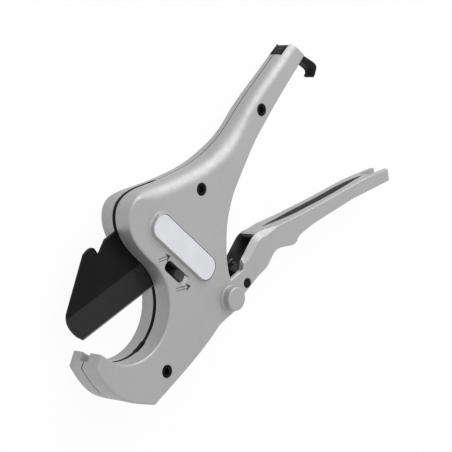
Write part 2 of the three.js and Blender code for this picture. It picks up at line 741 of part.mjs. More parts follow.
// ---------------------------------------------------------------- release slider
// The button in the window, its tongue under the front wall, and the foot below the holding pawl's tail.
function releaseSlider() {
  const left = windowCentre.x - windowHalfX + gap;
  const right = windowCentre.x + windowHalfX - gap;
  const bottom = windowCentre.y - windowHalfY + gap;
  const [low, high] = [partingZ + bladeThickness / 2 + 1.6, frontFace - 6.4 - gap];
  const button = block(left, right, bottom, bottom + 8, low, frontFace + 0.2);
  const tongue = prism(
    vectors([[left, bottom + 8], [-19, 38], [-25.5, 31], [-25.5, 15.4], [-18.6, 15.4], [-18.6, 30],
      [right, bottom + 1], [right, bottom + 8]]),
    low,
    high,
  );
  const foot = block(-25.3, -23.7, 15.4, 19.1, partingZ - pawlThickness / 2, low + 0.1);
  const ribs = [];
  for (let i = 0; i < 4; i++) {
    const y = bottom + 1 + i * 1.9;
    ribs.push(block(left + 0.4, right - 0.4, y, y + 0.9, frontFace - 1, frontFace + 0.9));
  }
  return joined([button, tongue, foot, ...ribs]);
}

// ---------------------------------------------------------------- lock latch
function lockLatch() {
  const x = (offset) => gripEnd + offset;
  const y = (offset) => gripInnerEnd + offset;
  const arm = vectors([
    [x(-8.5), thumbFloor + 3],
    [x(-8.5), y(2.1)],
    [x(-4.5), y(0.1)],
    [x(-3.7), y(-3.3)],
    [x(-2.6), y(-10.4)],
    [x(-2.7), y(-12.5)],
    [x(-3.4), y(-13.3)],
    [x(-4.4), y(-12.4)],
    [x(-4.9), y(-13.2)],
    [x(-4.6), y(-16.1)],
    [x(-3.2), y(-18.4)],
    [x(3.9), y(-16.2)],
    [x(4.8), y(-14.3)],
    [x(3.6), y(-8.3)],
    [x(2.7), y(-4.1)],
    [x(-0.2), y(0.4)],
    [x(-0.2), thumbFloor + 3],
  ]);
  const crownSlope = -0.145;
  const crown = (offset) => gripBackEnd + offset * crownSlope;
  const thumb = vectors([
    [x(-10.8), thumbFloor + 2.1],
    [x(-0.1), thumbFloor + 2.1],
    [x(-0.1), crown(0) - 3.6],
    [x(-1.4), crown(0) - 1.7],
    [x(-3.8), crown(-3.8) - 0.4],
    [x(-10.8), crown(-10.8) - 0.1],
  ]);
  const half = latchThickness / 2;
  const crownRadius = 14;
  const across = new THREE.CylinderGeometry(crownRadius, crownRadius, 60, 90);
  across.rotateZ(Math.PI / 2 + Math.atan(crownSlope));
  across.translate(gripEnd, crown(0) - crownRadius, middleZ);
  const cap = prism(thumb, middleZ - thumbHalf, middleZ + thumbHalf).intersect(solidOf(across));
  const body = prism(arm, middleZ - half, middleZ + half).add(cap);
  return body.subtract(rod(latchPivot, latchPinRadius + pinGap, 0, bodyThickness, 24));
}

function latchSpring() {
  const x = (offset) => gripEnd - 11.9 + offset;
  const y = (offset) => gripInnerEnd + offset;
  const strip = vectors([
    [x(0), y(1.2)],
    [x(0.6), y(1.2)],
    [x(3.1), y(4.2)],
    [x(0.6), y(7.8)],
    [x(0), y(7.8)],
    [x(2.4), y(4.2)],
  ]);
  return prism(strip, middleZ - 3, middleZ + 3);
}

// ---------------------------------------------------------------- screws
function screwSeat(place) {
  return frontFace - faceDrop(place.x) - screwHeadHeight - 0.9 + gap;
}

function screwPoint(place) {
  return 3.5 + faceDrop(place.x);
}

function bodyScrew(place) {
  const [point, seat] = [screwPoint(place), screwSeat(place)];
  const top = seat + screwHeadHeight;
  const profile = [
    [0, point],
    [screwShankRadius - 0.4, point],
    [screwShankRadius, point + 0.5],
    [screwShankRadius, seat],
    [screwHeadRadius, seat],
    [screwHeadRadius, top - 0.4],
    [screwHeadRadius - 0.4, top],
    [0, top],
  ];
  return turned(profile, place).subtract(rod(place, 2.3, top - 1.8, top + 1, 6));
}

// ---------------------------------------------------------------- materials
function material(name, color, roughness, metalness) {
  return new THREE.MeshStandardMaterial({ name, color, roughness, metalness });
}
const castPaint = material("cast_paint", 0xb4b6b8, 0.45, 0.35);
const blackSteel = material("black_steel", 0x1c1d1f, 0.4, 0.6);
const plainSteel = material("plain_steel", 0x9a9da1, 0.35, 0.9);
const springSteel = material("spring_steel", 0x7d8084, 0.35, 0.9);
const blackPlastic = material("black_plastic", 0x17181a, 0.55, 0);
const platePaint = material("plate_paint", 0xe2e4e8, 0.5, 0.1);

// ---------------------------------------------------------------- assembly
const body = new THREE.Group();
const handle = new THREE.Group();
handle.rotation.z = THREE.MathUtils.degToRad(handleAngle);
const cutter = new THREE.Group();
cutter.add(body, handle);

function place(group, name, solid, finish) {
  const mesh = new THREE.Mesh(geometryOf(solid), finish);
  mesh.name = name;
  group.add(mesh);
  return mesh;
}

place(body, "front_shell", frontShell(), castPaint);
place(body, "rear_shell", rearShell(), castPaint);
place(body, "blade", blade(), blackSteel);
place(body, "blade_pivot_pin", rod(bladePivot, bladePinRadius, 3.3, frontFace - 4.3), plainSteel);
place(body, "blade_washer_front", bladeWasher(partingZ + bladeThickness / 2 + gap), plainSteel);
const rearWasher = bladeWasher(partingZ - bladeThickness / 2 - gap - washerThickness);
place(body, "blade_washer_rear", rearWasher, plainSteel);
const handlePin = rod(new THREE.Vector2(), handlePinRadius, 1.3, frontFace + bossHeight - 2.3);
place(body, "handle_pivot_pin", handlePin, plainSteel);
place(body, "pivot_sleeve", pivotSleeve(), plainSteel);

place(handle, "moving_handle", movingHandle(), castPaint);
const returnWire = 0.7;
const returnSpring = {
  radius: handlePinRadius + pinGap + sleeveWall + 0.65 + returnWire,
  wireRadius: returnWire,
  low: forkSlotLow + 1.3,
  high: forkSlotHigh - 1.7,
  turns: 3.25,
  startAngle: 90,
  firstLeg: 38.9,
  lastLeg: 4.2,
};
place(handle, "handle_return_spring", torsionSpring(returnSpring), springSteel);
const pawlPinPlace = handleFrame(drivePawlPivot);
const rivetLow = middleZ - forkHalf + 1.1;
const drivePin = rod(pawlPinPlace, pawlPinRadius, rivetLow, middleZ + forkHalf - 0.5);
place(handle, "drive_pawl_pin", drivePin, blackSteel);
const postPlace = handleFrame(springPostPlace);
const springPost = rod(postPlace, springPostRadius, rivetLow, forkSlotLow + 3.4, 20);
place(handle, "spring_post", springPost, plainSteel);
const pawlSpring = {
  radius: 2.4,
  wireRadius: 0.4,
  low: forkSlotLow + 0.8,
  high: forkSlotLow + 2.6,
  turns: 1.75,
  startAngle: 90,
  firstLeg: 3,
  lastLeg: 12,
};
const drivePawlSpring = place(handle, "drive_pawl_spring", torsionSpring(pawlSpring), springSteel);
drivePawlSpring.position.set(postPlace.x, postPlace.y, 0);
drivePawlSpring.rotation.z = 1.9;

place(body, "drive_pawl", drivePawl(), blackSteel);
place(body, "holding_pawl", holdingPawl(), blackSteel);
place(body, "holding_pawl_pin", rod(holdingPawlPivot, pawlPinRadius, 4.3, frontFace - 4.9), plainSteel);
const holdSpring = {
  radius: 3.3,
  wireRadius: 0.45,
  low: 7.4,
  high: 9,
  turns: 1.5,
  startAngle: 0,
  firstLeg: 7,
  lastLeg: 7,
};
const holdingPawlSpring = place(body, "holding_pawl_spring", torsionSpring(holdSpring), springSteel);
holdingPawlSpring.position.set(holdingPawlPivot.x, holdingPawlPivot.y, 0);
place(body, "release_slider", releaseSlider(), blackPlastic);
place(body, "lock_latch", lockLatch(), blackPlastic);
const latchPin = rod(latchPivot, latchPinRadius, middleZ - latchPinHalf, middleZ + latchPinHalf, 24);
place(body, "latch_pin", latchPin, plainSteel);
place(body, "latch_spring", latchSpring(), springSteel);
for (const [name, spot] of Object.entries(screwPlaces)) place(body, name, bodyScrew(spot), blackSteel);
for (const [name, spot] of Object.entries(dowelPlaces))
  place(body, name, rod(spot, dowelRadius, partingZ - dowelHalf, partingZ + dowelHalf, 24), plainSteel);
const plateLow = frontFace + padHeight - plateThickness;
place(body, "label_plate", prism(labelOutline(0), plateLow, frontFace + padHeight), platePaint);
place(
  body,
  "jaw_spacer",
  block(
    spacerPlace.x - spacerHalfX,
    spacerPlace.x + spacerHalfX,
    spacerPlace.y - spacerHeight,
    spacerPlace.y,
    partingZ - spacerHalfZ,
    partingZ + spacerHalfZ,
  ),
  blackSteel,
);

export default cutter;
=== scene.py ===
import json
import math

import bmesh
import bpy
from mathutils import Matrix, Vector


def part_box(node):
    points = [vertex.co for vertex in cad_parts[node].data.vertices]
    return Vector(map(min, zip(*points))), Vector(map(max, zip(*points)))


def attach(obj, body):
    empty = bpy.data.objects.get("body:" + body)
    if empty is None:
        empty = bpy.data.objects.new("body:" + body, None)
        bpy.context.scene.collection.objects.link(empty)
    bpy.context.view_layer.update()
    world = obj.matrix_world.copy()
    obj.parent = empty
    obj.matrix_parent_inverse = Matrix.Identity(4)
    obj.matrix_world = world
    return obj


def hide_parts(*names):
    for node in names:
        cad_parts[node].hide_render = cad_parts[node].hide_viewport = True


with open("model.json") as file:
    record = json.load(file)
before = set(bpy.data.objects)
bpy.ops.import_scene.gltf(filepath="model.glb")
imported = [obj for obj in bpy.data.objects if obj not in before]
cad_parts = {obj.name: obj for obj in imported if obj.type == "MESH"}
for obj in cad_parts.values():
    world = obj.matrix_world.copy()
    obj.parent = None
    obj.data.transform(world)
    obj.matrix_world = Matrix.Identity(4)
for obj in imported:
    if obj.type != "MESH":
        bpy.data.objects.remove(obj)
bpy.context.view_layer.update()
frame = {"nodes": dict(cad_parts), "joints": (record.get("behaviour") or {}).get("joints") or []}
print("frame loaded:", len(frame["nodes"]), "nodes")

# Shapes are drawn in millimetres and become metres when a piece is finished.
metres = 0.001
hinges = {j["name"]: Vector(j["pos_m"]) / metres for j in frame["joints"] if "pos_m" in j}
bladePivot = hinges["blade_hinge"].xy
latchPivot = hinges["latch_hinge"].xy
partingZ = hinges["blade_hinge"].z
middleZ = hinges["handle_hinge"].z
faceZ = 2 * middleZ
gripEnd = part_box("front_shell")[1].x / metres + 0.12


def nodeBox(name):
    # a CAD node's lowest and highest corners, in millimetres
    return [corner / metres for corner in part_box(name)]


def ease(value, low, high):
    t = min(1, max(0, (value - low) / (high - low)))
    return t * t * (3 - 2 * t)


def at(x, y):
    return Vector((x, y))


def polar(centre, radius, degrees):
    angle = math.radians(degrees)
    return Vector((centre[0] + radius * math.cos(angle), centre[1] + radius * math.sin(angle)))


def path(*pairs):
    return [at(x, y) for x, y in pairs]


def circle(centre, radius, sides):
    return [polar(centre, radius, 360 * i / sides) for i in range(sides)]


def bezier(a, b, c, d, step):
    rough = (b - a).length + (c - b).length + (d - c).length
    count = max(2, round(rough / step))
    out = []
    for i in range(count):
        t = i / count
        s = 1 - t
        out.append(s ** 3 * a + 3 * s * s * t * b + 3 * s * t * t * c + t ** 3 * d)
    return out


def curves(step, start, *legs):
    # joined curves, each leg giving its two handles and its end; the last point is left out
    out = []
    for first, second, end in legs:
        out += bezier(Vector(start), Vector(first), Vector(second), Vector(end), step)
        start = end
    return out


def pulled(start, towards, end, step):
    # one curve that leans towards a point
    return bezier(start, start + (towards - start) * 2 / 3, end + (towards - end) * 2 / 3, end, step)


def arc(centre, radius, start, end, step):
    count = max(2, round(abs(math.radians(end - start)) * radius / step))
    return [polar(centre, radius, start + (end - start) * i / count) for i in range(count)]


def through(points, step):
    # a smooth line through points, ending just before the last one
    ends = [points[0]] + points + [points[-1]]
    out = []
    for i in range(len(points) - 1):
        p0, p1, p2, p3 = ends[i:i + 4]
        count = max(1, round((p2 - p1).length / step))
        for k in range(count):
            t = k / count
            a = 2 * p1 + (p2 - p0) * t
            b = (2 * p0 - 5 * p1 + 4 * p2 - p3) * t * t
            c = (3 * p1 - p0 - 3 * p2 + p3) * t ** 3
            out.append((a + b + c) / 2)
    return out


def cleaned(points, least=0.05):
    return [p for i, p in enumerate(points) if (p - points[i - 1]).length > least]


def inwardAt(points):
    # the mitred direction into the outline at each point, for a counterclockwise outline
    out = []
    for i, p in enumerate(points):
        before = (p - points[i - 1]).normalized()
        after = (points[(i + 1) % len(points)] - p).normalized()
        both = before + after
        out.append(Vector((-both.y, both.x)) / max(0.3, 1 + before.dot(after)))
    return out


def roundedBox(centre, halfX, halfY, radius, perCorner):
    out = []
    for sx, sy, start in ((1, 1, 0), (-1, 1, 90), (-1, -1, 180), (1, -1, 270)):
        corner = at(centre[0] + sx * (halfX - radius), centre[1] + sy * (halfY - radius))
        out += [polar(corner, radius, start + 90 * i / perCorner) for i in range(perCorner + 1)]
    return out


def meshObject(name, verts, faces):
    mesh = bpy.data.meshes.new(name)
    mesh.from_pydata([tuple(v) for v in verts], [], faces)
    bm = bmesh.new()
    bm.from_mesh(mesh)
    bmesh.ops.recalc_face_normals(bm, faces=bm.faces)
    bm.to_mesh(mesh)
    bm.free()
    obj = bpy.data.objects.new(name, mesh)
    bpy.context.scene.collection.objects.link(obj)
    return obj


def closedFaces(levels, count, start=0):
    # the faces over rings of count points each, closed at both ends
    faces = [tuple(range(start, start + count))]
    for level in range(levels - 1):
        low, high = start + level * count, start + (level + 1) * count
        faces += [(low + i, low + (i + 1) % count, high + (i + 1) % count, high + i) for i in range(count)]
    faces.append(tuple(range(start + (levels - 1) * count, start + levels * count)))
    return faces


def loft(name, rings):
    return meshObject(name, [v for ring in rings for v in ring], closedFaces(len(rings), len(rings[0])))


def plates(name, outlines, low, high):
    # flat plates of the same height, in one mesh
    verts, faces = [], []
    for outline in outlines:
        faces += closedFaces(2, len(outline), len(verts))
        verts += [(*p, z) for z in (low, high) for p in outline]
    return meshObject(name, verts, faces)


def prism(name, outline, low, high):
    return plates(name, [outline], low, high)


def drum(name, centre, radius, low, high, sides=64):
    return prism(name, circle(centre, radius, sides), low, high)


def turned(name, centre, profile, sides=64):
    # profile: (radius, z) pairs from one end of the axis to the other
    return loft(name, [[(*p, z) for p in circle(centre, radius, sides)] for radius, z in profile])


def boxObject(name, x0, x1, y0, y1, z0, z1):
    return prism(name, path((x0, y0), (x1, y0), (x1, y1), (x0, y1)), z0, z1)


def roundedBlock(name, centre, halves, radius, perCorner, side):
    # side: how far the outline grows, and at which height
    rings = []
    for margin, z in side:
        outline = roundedBox(centre, halves[0] + margin, halves[1] + margin, radius + margin, perCorner)
        rings.append([(*p, z) for p in outline])
    return loft(name, rings)


def painted(obj, material):
    obj.data.materials.clear()
    obj.data.materials.append(material)
    return obj


def settle(obj):
    # turns the modifiers into plain mesh
    graph = bpy.context.evaluated_depsgraph_get()
    mesh = bpy.data.meshes.new_from_object(obj.evaluated_get(graph))
    obj.modifiers.clear()
    old = obj.data
    obj.data = mesh
    bpy.data.meshes.remove(old)
    return obj


def combine(obj, others, operation, keepFinish=False):
    for other in others:
        step = obj.modifiers.new(operation.lower(), "BOOLEAN")
        step.operation = operation
        step.solver = "EXACT"
        step.material_mode = "TRANSFER" if keepFinish else "INDEX"
        step.object = other
    settle(obj)
    for other in others:
        bpy.data.objects.remove(other)
    return obj


def finishPiece(obj, material, body, replaced=(), smoothAngle=32):
    # from millimetres to the frame's metres, then the finish and the body it rides on
    obj.data.transform(Matrix.Scale(metres, 4))
    if len(obj.data.materials) < 2:
        painted(obj, material)
    for polygon in obj.data.polygons:
        polygon.use_smooth = True
    obj.data.set_sharp_from_angle(angle=math.radians(smoothAngle))
    shading = obj.modifiers.new("flatFaces", "WEIGHTED_NORMAL")
    shading.keep_sharp = True
    settle(obj)
    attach(obj, body)
    if replaced:
        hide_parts(*replaced)


def put(tree, socket, value):
    # a link where the value comes out of another node
    if isinstance(value, bpy.types.NodeSocket):
        tree.links.new(value, socket)
    else:
        socket.default_value = value


def addNode(tree, kind, inputs=(), **settings):
    node = tree.nodes.new(kind)
    for key, value in settings.items():
        setattr(node, key, value)
    for key, value in dict(inputs).items():
        put(tree, node.inputs[key], value)
    return node


class Finish:
    # a node material with a few shorthands for the nodes that the finishes share
    def __init__(self, name):
        self.material = bpy.data.materials.new(name)
        self.material.use_nodes = True
        self.tree = self.material.node_tree
        self.shader = self.tree.nodes["Principled BSDF"]
        self.place = self.tree.nodes.new("ShaderNodeTexCoord").outputs["Object"]

    def add(self, kind, inputs=(), **settings):
        return addNode(self.tree, kind, inputs, **settings)

    def noise(self, perMetre, detail=3, stretch=(1, 1, 1), turn=0):
        mapping = self.add("ShaderNodeMapping", {
            "Vector": self.place, "Scale": stretch, "Rotation": (0, 0, math.radians(turn))})
        return self.add("ShaderNodeTexNoise", {
            "Vector": mapping.outputs[0], "Scale": perMetre, "Detail": detail}).outputs["Fac"]

    def between(self, value, low, high, outLow, outHigh):
        return self.add("ShaderNodeMapRange", {
            "Value": value, "From Min": low, "From Max": high, "To Min": outLow,
            "To Max": outHigh}).outputs[0]

    def blend(self, amount, first, second):
        return self.add("ShaderNodeMix", {0: amount, 6: first, 7: second}, data_type="RGBA").outputs[2]

    def clouds(self, noise, first, second, low=0.3, high=0.7):
        return self.blend(self.between(noise, low, high, 0, 1), first, second)

    def math(self, how, first, second):
        return self.add("ShaderNodeMath", {0: first, 1: second}, operation=how).outputs[0]

    def rims(self, radius):
        # 1 along sharp edges, 0 on flats
        soft = self.add("ShaderNodeBevel", {"Radius": radius}, samples=4).outputs[0]
        plain = self.add("ShaderNodeNewGeometry").outputs["Normal"]
        facing = self.add("ShaderNodeVectorMath", {0: soft, 1: plain}, operation="DOT_PRODUCT")
        return self.between(facing.outputs["Value"], 0.98, 0.86, 0, 1)

    def bump(self, height, strength, distance, below=None):
        inputs = {"Height": height, "Strength": strength, "Distance": distance}
        if below is not None:
            inputs["Normal"] = below
        return self.add("ShaderNodeBump", inputs).outputs[0]

    def set(self, socket, value):
        put(self.tree, self.shader.inputs[socket], value)


def grey(value, tint=(1, 1, 1)):
    return (value * tint[0], value * tint[1], value * tint[2], 1)


# the second entry darkens the silver for the groove's walls, as painted shade
castLook = {"shade": 0.37, "grooveShade": 0.35, "mottle": 0.016, "worn": 0.55, "metal": 0.6, "rough": 0.5,
            "grain": 0.25, "wear": 0.25}


def castPaint(name, shade):
    # sprayed silver over a die casting: fine flake, a soft orange peel and edges rubbed paler
    f = Finish(name)
    mottle, rough, grain = castLook["mottle"], castLook["rough"], castLook["grain"]
    base = f.clouds(f.noise(22, 4), grey(shade - mottle), grey(shade + mottle, (1, 1, 1.01)))
    flake = f.between(f.noise(5200, 1), 0.35, 0.65, 0, 1)
    base = f.blend(f.math("MULTIPLY", flake, 0.24), base, grey(shade * 1.6))
    ragged = f.between(f.noise(900, 3), 0.35, 0.65, 0.4, 1)
    edges = f.math("MULTIPLY", f.math("MULTIPLY", f.rims(0.0004), castLook["wear"]), ragged)
    f.set("Base Color", f.blend(edges, base, grey(castLook["worn"])))
    f.set("Metallic", castLook["metal"])
    f.set("Roughness", f.between(f.noise(300, 4), 0.3, 0.7, rough - 0.05, rough + 0.07))
    peel = f.bump(f.noise(700, 2), grain, 0.00012)
    f.set("Normal", f.bump(f.noise(4200, 2), grain * 0.6, 0.00003, peel))
    return f.material


bladeLook = {"flat": 0.006, "ground": 0.026, "bright": 0.3, "groundWidth": 17.5, "rough": 0.34,
             "slope": -26.6}


def blackSteel(name, ground=False):
    # blackened steel; the blade also has its ground band, paler and with grinding lines
    f = Finish(name)
    flat, rough = bladeLook["flat"], bladeLook["rough"]
    base = f.clouds(f.noise(60, 4), grey(flat), grey(flat * 1.5))
    height = f.noise(1500, 3)
    if ground:
        slope = math.radians(bladeLook["slope"])
        tip = bladeTip * metres
        fromTip = f.add("ShaderNodeVectorMath", {0: f.place, 1: (tip.x, tip.y, 0)}, operation="SUBTRACT")
        across = (-math.sin(slope), math.cos(slope), 0)
        reach = f.add("ShaderNodeVectorMath", {0: fromTip.outputs[0], 1: across}, operation="DOT_PRODUCT")
        reach = reach.outputs["Value"]
        width = bladeLook["groundWidth"] * metres
        band = f.between(reach, width, width + 0.0004, 1, 0)
        lines = f.noise(1, 3, (5200, 160, 1), -bladeLook["slope"])
        pale = f.clouds(lines, grey(bladeLook["ground"] * 0.8), grey(bladeLook["ground"] * 1.3))
        pale = f.blend(f.between(reach, 0.0002, 0.0011, 1, 0), pale, grey(bladeLook["bright"]))
        base = f.blend(band, base, pale)
        height = f.math("ADD", height, f.math("MULTIPLY", f.math("MULTIPLY", lines, band), 1.5))
    f.set("Base Color", base)
    f.set("Metallic", 0.2)
    f.set("Specular IOR Level", 0.08)
    f.set("Roughness", f.between(f.noise(260, 3), 0.3, 0.7, rough - 0.05, rough + 0.08))
    f.set("Normal", f.bump(height, 0.18, 0.00004))
    return f.material


# The other finishes. Clouds, haze and grain are noise per metre and its detail; greys and rough are
# the least and the most; bump is its strength and its height in metres.
finishLooks = {
    "bareCastingShade": {  # walls inside the casting: bare casting, made near black as painted shade in the rooms and in the joint between the halves
        "clouds": (180, 4), "greys": (0.035, 0.075), "haze": (400, 3), "rough": (0.5, 0.7),
        "grain": (1400, 3), "bump": (0.3, 0.00008), "sockets": {"Metallic": 0.3}},
    "plainSteel": {  # turned, with a little oil
        "clouds": (400, 4), "band": (0.35, 0.65), "greys": (0.3, 0.44), "haze": (1800, 3),
        "rough": (0.22, 0.42), "grain": (1, 2, (300, 300, 9000)), "bump": (0.15, 0.00003),
        "sockets": {"Metallic": 1.0}},
    "springSteel": {
        "clouds": (900, 3), "greys": (0.1, 0.18), "haze": (700, 2), "rough": (0.3, 0.45),
        "grain": (3000, 2), "bump": (0.1, 0.00002), "sockets": {"Metallic": 0.9}},
    "blackPlastic": {  # moulded with a fine spark-eroded grain
        "clouds": (120, 3), "greys": (0.005, 0.01), "haze": (500, 3), "rough": (0.5, 0.64),
        "grain": (2600, 3), "bump": (0.35, 0.00006), "sockets": {"Specular IOR Level": 0.12}},
    "platePaint": {  # the bare pale plate
        "clouds": (90, 4), "greys": (0.70, 0.74), "tint": (0.985, 0.99, 1.03), "haze": (350, 3),
        "rough": (0.3, 0.42), "grain": (1300, 2), "bump": (0.1, 0.00004)},
    "darkMarks": {  # dark plates for the marks on the body
        "clouds": (900, 3), "greys": (0.02, 0.045), "haze": (700, 2), "rough": (0.45, 0.65),
        "grain": (3000, 2), "bump": (0.2, 0.00003)},
}
# a greyer plastic: the slider's own colour, and on the latch's ribs a painted sheen
finishLooks["sliderPlastic"] = {**finishLooks["blackPlastic"], "greys": (0.035, 0.07)}


def plainFinish(name):
    look = finishLooks[name]
    f = Finish(name)
    darker, paler = (grey(value, look.get("tint", (1, 1, 1))) for value in look["greys"])
    f.set("Base Color", f.clouds(f.noise(*look["clouds"]), darker, paler, *look.get("band", (0.3, 0.7))))
    f.set("Roughness", f.between(f.noise(*look["haze"]), 0.3, 0.7, *look["rough"]))
    f.set("Normal", f.bump(f.noise(*look["grain"]), *look["bump"]))
    for socket, value in look.get("sockets", {}).items():
        f.set(socket, value)
    return f.material


bodyLook = {
    "edgeRound": 1.5,
    "lobe": 9.4,  # round the handle's pivot
    "shoulderRound": 8.5,  # on the back's edges behind the jaw
    "backRound": 6.2,  # along the back of the grip
    "seam": 0.2,  # half of the joint between the halves
    "seamBevel": 0.14,
    "step": 1.3,  # spacing of points on its curves
    "roundSteps": 10,
    "bossHeight": 5.0,
}
padLook = {"halves": (7.5, 28.5), "corner": 6.4, "perCorner": 20}
roomLook = {  # the rooms inside the body
    "slotHalf": 1.4,  # the blade's
    "shut": 30,  # degrees the blade turns to its closed place
    "cheekWall": 2.4,
    "pawlWall": 6.4,
    "gripWall": 8.2,
    "screwPost": 5.4,
    "eye": 10.2,  # round the handle's fork
    "gap": 0.3,
}
gripLook = {  # places in millimetres along it
    "innerEnd": 32.7,
    "endWidth": 14.2,
    "neckStart": 60,
    "neckEnd": 99,
    "drop": 3.4,  # how far both faces draw in over the neck
    "taper": 0.018,  # and further for each millimetre towards the end
    "strip": 3,  # width of the flat strips its faces are drawn in by
}
latchLook = {"half": 4.0, "thumbHalf": 5.1, "floor": 6.7, "rim": 0.5, "ribs": 4, "ribRadius": 0.6,
             "crownRadius": 13}
gripInner = gripLook["innerEnd"]
gripBack = gripInner + gripLook["endWidth"]
jawRadius = 31.8
jawCentre = bladePivot + at(-52, 13.5)
bladeTip = jawCentre + at(-27.9, 9)
tipInner = jawCentre + at(-jawRadius - 0.3, 2.8)


def bodyOutline(step):
    # counterclockwise from the outer side of the jaw's tip
    tipOuter = tipInner + at(-9.3, -2.2)
    bulge = jawCentre + at(-45.9, -20.5)
    corner = jawCentre + at(-34.5, -51.1)
    gripOut = gripEnd + 16
    lobe = bodyLook["lobe"]
    jawStart, jawStop = 3.2, -166.8
    web = polar(jawCentre, jawRadius, jawStart)
    points = curves(
        step, tipOuter,
        ((bulge.x + 2.2, tipOuter.y - 6.6), (bulge.x, bulge.y + 7), bulge),
        ((bulge.x, bulge.y - 9), corner + at(-6.2, 11.3), corner),
        (corner + at(18.6, -5.8), (-42, 1.2), (-20, -1.8)),
        ((-15, -2.7), (-9.5, -6), polar((0, 0), lobe, -126)))
    points += arc((0, 0), lobe, -126, -15, step * 0.7)
    points += [polar((0, 0), lobe, -15)] + path((17.6, 3.4), (9.6, 6.9))
    points += curves(
        step, (9.6, 6.9),
        ((12, 12.5), (20, 20), (29.8, 26.4)),
        ((41, 33.8), (54, 38), (73, 37.9)),
        ((85, 37.8), (98, 37.3), (112, 36.6)),
        ((124, 36), (138, gripInner + 2), (gripEnd - 10, gripInner + 0.7)))[1:]
    points += path((gripEnd - 10, gripInner + 0.7), (gripOut, gripInner - 1.1), (gripOut, gripBack - 2.3))
    points += curves(
        step, (gripEnd - 26, gripBack + 3.9),
        ((gripEnd - 35, gripBack + 5.2), (114, 54.6), (100, 55.5)),
        ((88, 56.2), (75, 57), (58.5, 64.8)),
        ((48.5, 69.1), (31, 82.2), (21.7, 90.2)),
        ((15.5, 95.6), (8.5, 101), (1, 101.2)),
        ((-7, 101.3), (web.x + 3.6, 93), (web.x + 1.6, 84)),
        ((web.x + 0.6, 79.5), (web.x, 74), web))
    points += arc(jawCentre, jawRadius, jawStart, jawStop, step)
    points += [polar(jawCentre, jawRadius, jawStop), tipInner]
    return cleaned(points)


def roundingAt(point):
    # small round the jaw, large behind the shoulder and along the back of the grip
    small, shoulder, back = bodyLook["edgeRound"], bodyLook["shoulderRound"], bodyLook["backRound"]
    if point.x < 2 or point.y < (42 if point.x > 60 else 60):
        return small
    large = shoulder + (back - shoulder) * ease(point.x, 76, 105)
    return small + (large - small) * ease(point.x, 2, 20)


def faceDrop(x):
    # how far the faces of body and grip lie below those of the jaw
    past = max(0, x - gripLook["neckEnd"])
    return gripLook["drop"] * ease(x, gripLook["neckStart"], gripLook["neckEnd"]) + gripLook["taper"] * past


def thinned(obj, insideZ, outsideZ):
    # draws the outer face of the grip in, in strips across it that stay flat
    start, strip = gripLook["neckStart"], gripLook["strip"]
    bm = bmesh.new()
    bm.from_mesh(obj.data)
    for i in range(int((gripEnd + 20 - start) / strip)):
        everything = bm.verts[:] + bm.edges[:] + bm.faces[:]
        bmesh.ops.bisect_plane(bm, geom=everything, plane_co=(start + i * strip, 0, 0), plane_no=(1, 0, 0))
    for vert in bm.verts:
        i = math.floor((vert.co.x - start) / strip)
        low, high = faceDrop(start + i * strip), faceDrop(start + (i + 1) * strip)
        drop = low + (high - low) * ((vert.co.x - start) / strip - i)
        vert.co.z = insideZ + (vert.co.z - insideZ) * (1 - drop / abs(outsideZ - insideZ))
    bm.to_mesh(obj.data)
    bm.free()
    return obj


def halfBody(name, insideZ, outsideZ, silver, cavityShade):
    outline = bodyOutline(bodyLook["step"])
    inward = inwardAt(outline)
    up = 1 if outsideZ > insideZ else -1
    depth = abs(outsideZ - insideZ)
    bevel = bodyLook["seamBevel"]
    rings = [
        [(*(p + n * bevel), insideZ) for p, n in zip(outline, inward)],
        [(*p, insideZ + up * bevel) for p in outline],
    ]
    for step in range(bodyLook["roundSteps"] + 1):
        angle = math.pi / 2 * step / bodyLook["roundSteps"]
        ring = []
        for p, n in zip(outline, inward):
            radius = roundingAt(p)
            moved = p + n * radius * (1 - math.cos(angle))
            thinning = 1 - faceDrop(p.x) / depth
            ring.append((moved.x, moved.y, outsideZ - up * radius * (1 - math.sin(angle)) / thinning))
        rings.append(ring)
    half = thinned(loft(name, rings), insideZ, outsideZ)
    half.data.materials.append(silver)
    half.data.materials.append(cavityShade)
    # the faces in the joint between the halves take the near-black casting: painted shade in the gap
    for polygon in half.data.polygons:
        polygon.material_index = int(abs(polygon.center.z - insideZ) < bevel)
    return half


def padBlock(name, side):
    return roundedBlock(name, bladePivot, padLook["halves"], padLook["corner"], padLook["perCorner"], side)


def raisedPad():
    # a fillet at its foot and a rounded rim
    side = ((2.4, -1.5), (2.4, 0.02), (1.5, 0.15), (1.0, 0.45), (0.8, 0.9), (0.75, 1.8), (0.6, 2.15),
            (0.35, 2.4))
    return padBlock("pad", [(margin, faceZ + z) for margin, z in side])


def pivotBoss():
    top = faceZ + bodyLook["bossHeight"]
    profile = [(8.4, faceZ - 1.5), (8.4, faceZ + 0.03), (7.95, faceZ + 0.2), (7.65, faceZ + 0.6),
               (7.55, faceZ + 1.3), (7.35, top - 1.1), (7.2, top - 0.5), (6.8, top - 0.12), (6.3, top)]
    return turned("boss", (0, 0), profile, 96)


bladeSlotLow, bladeSlotHigh = partingZ - roomLook["slotHalf"], partingZ + roomLook["slotHalf"]
bladeReach = 86.85  # farthest point of the blade from its pivot


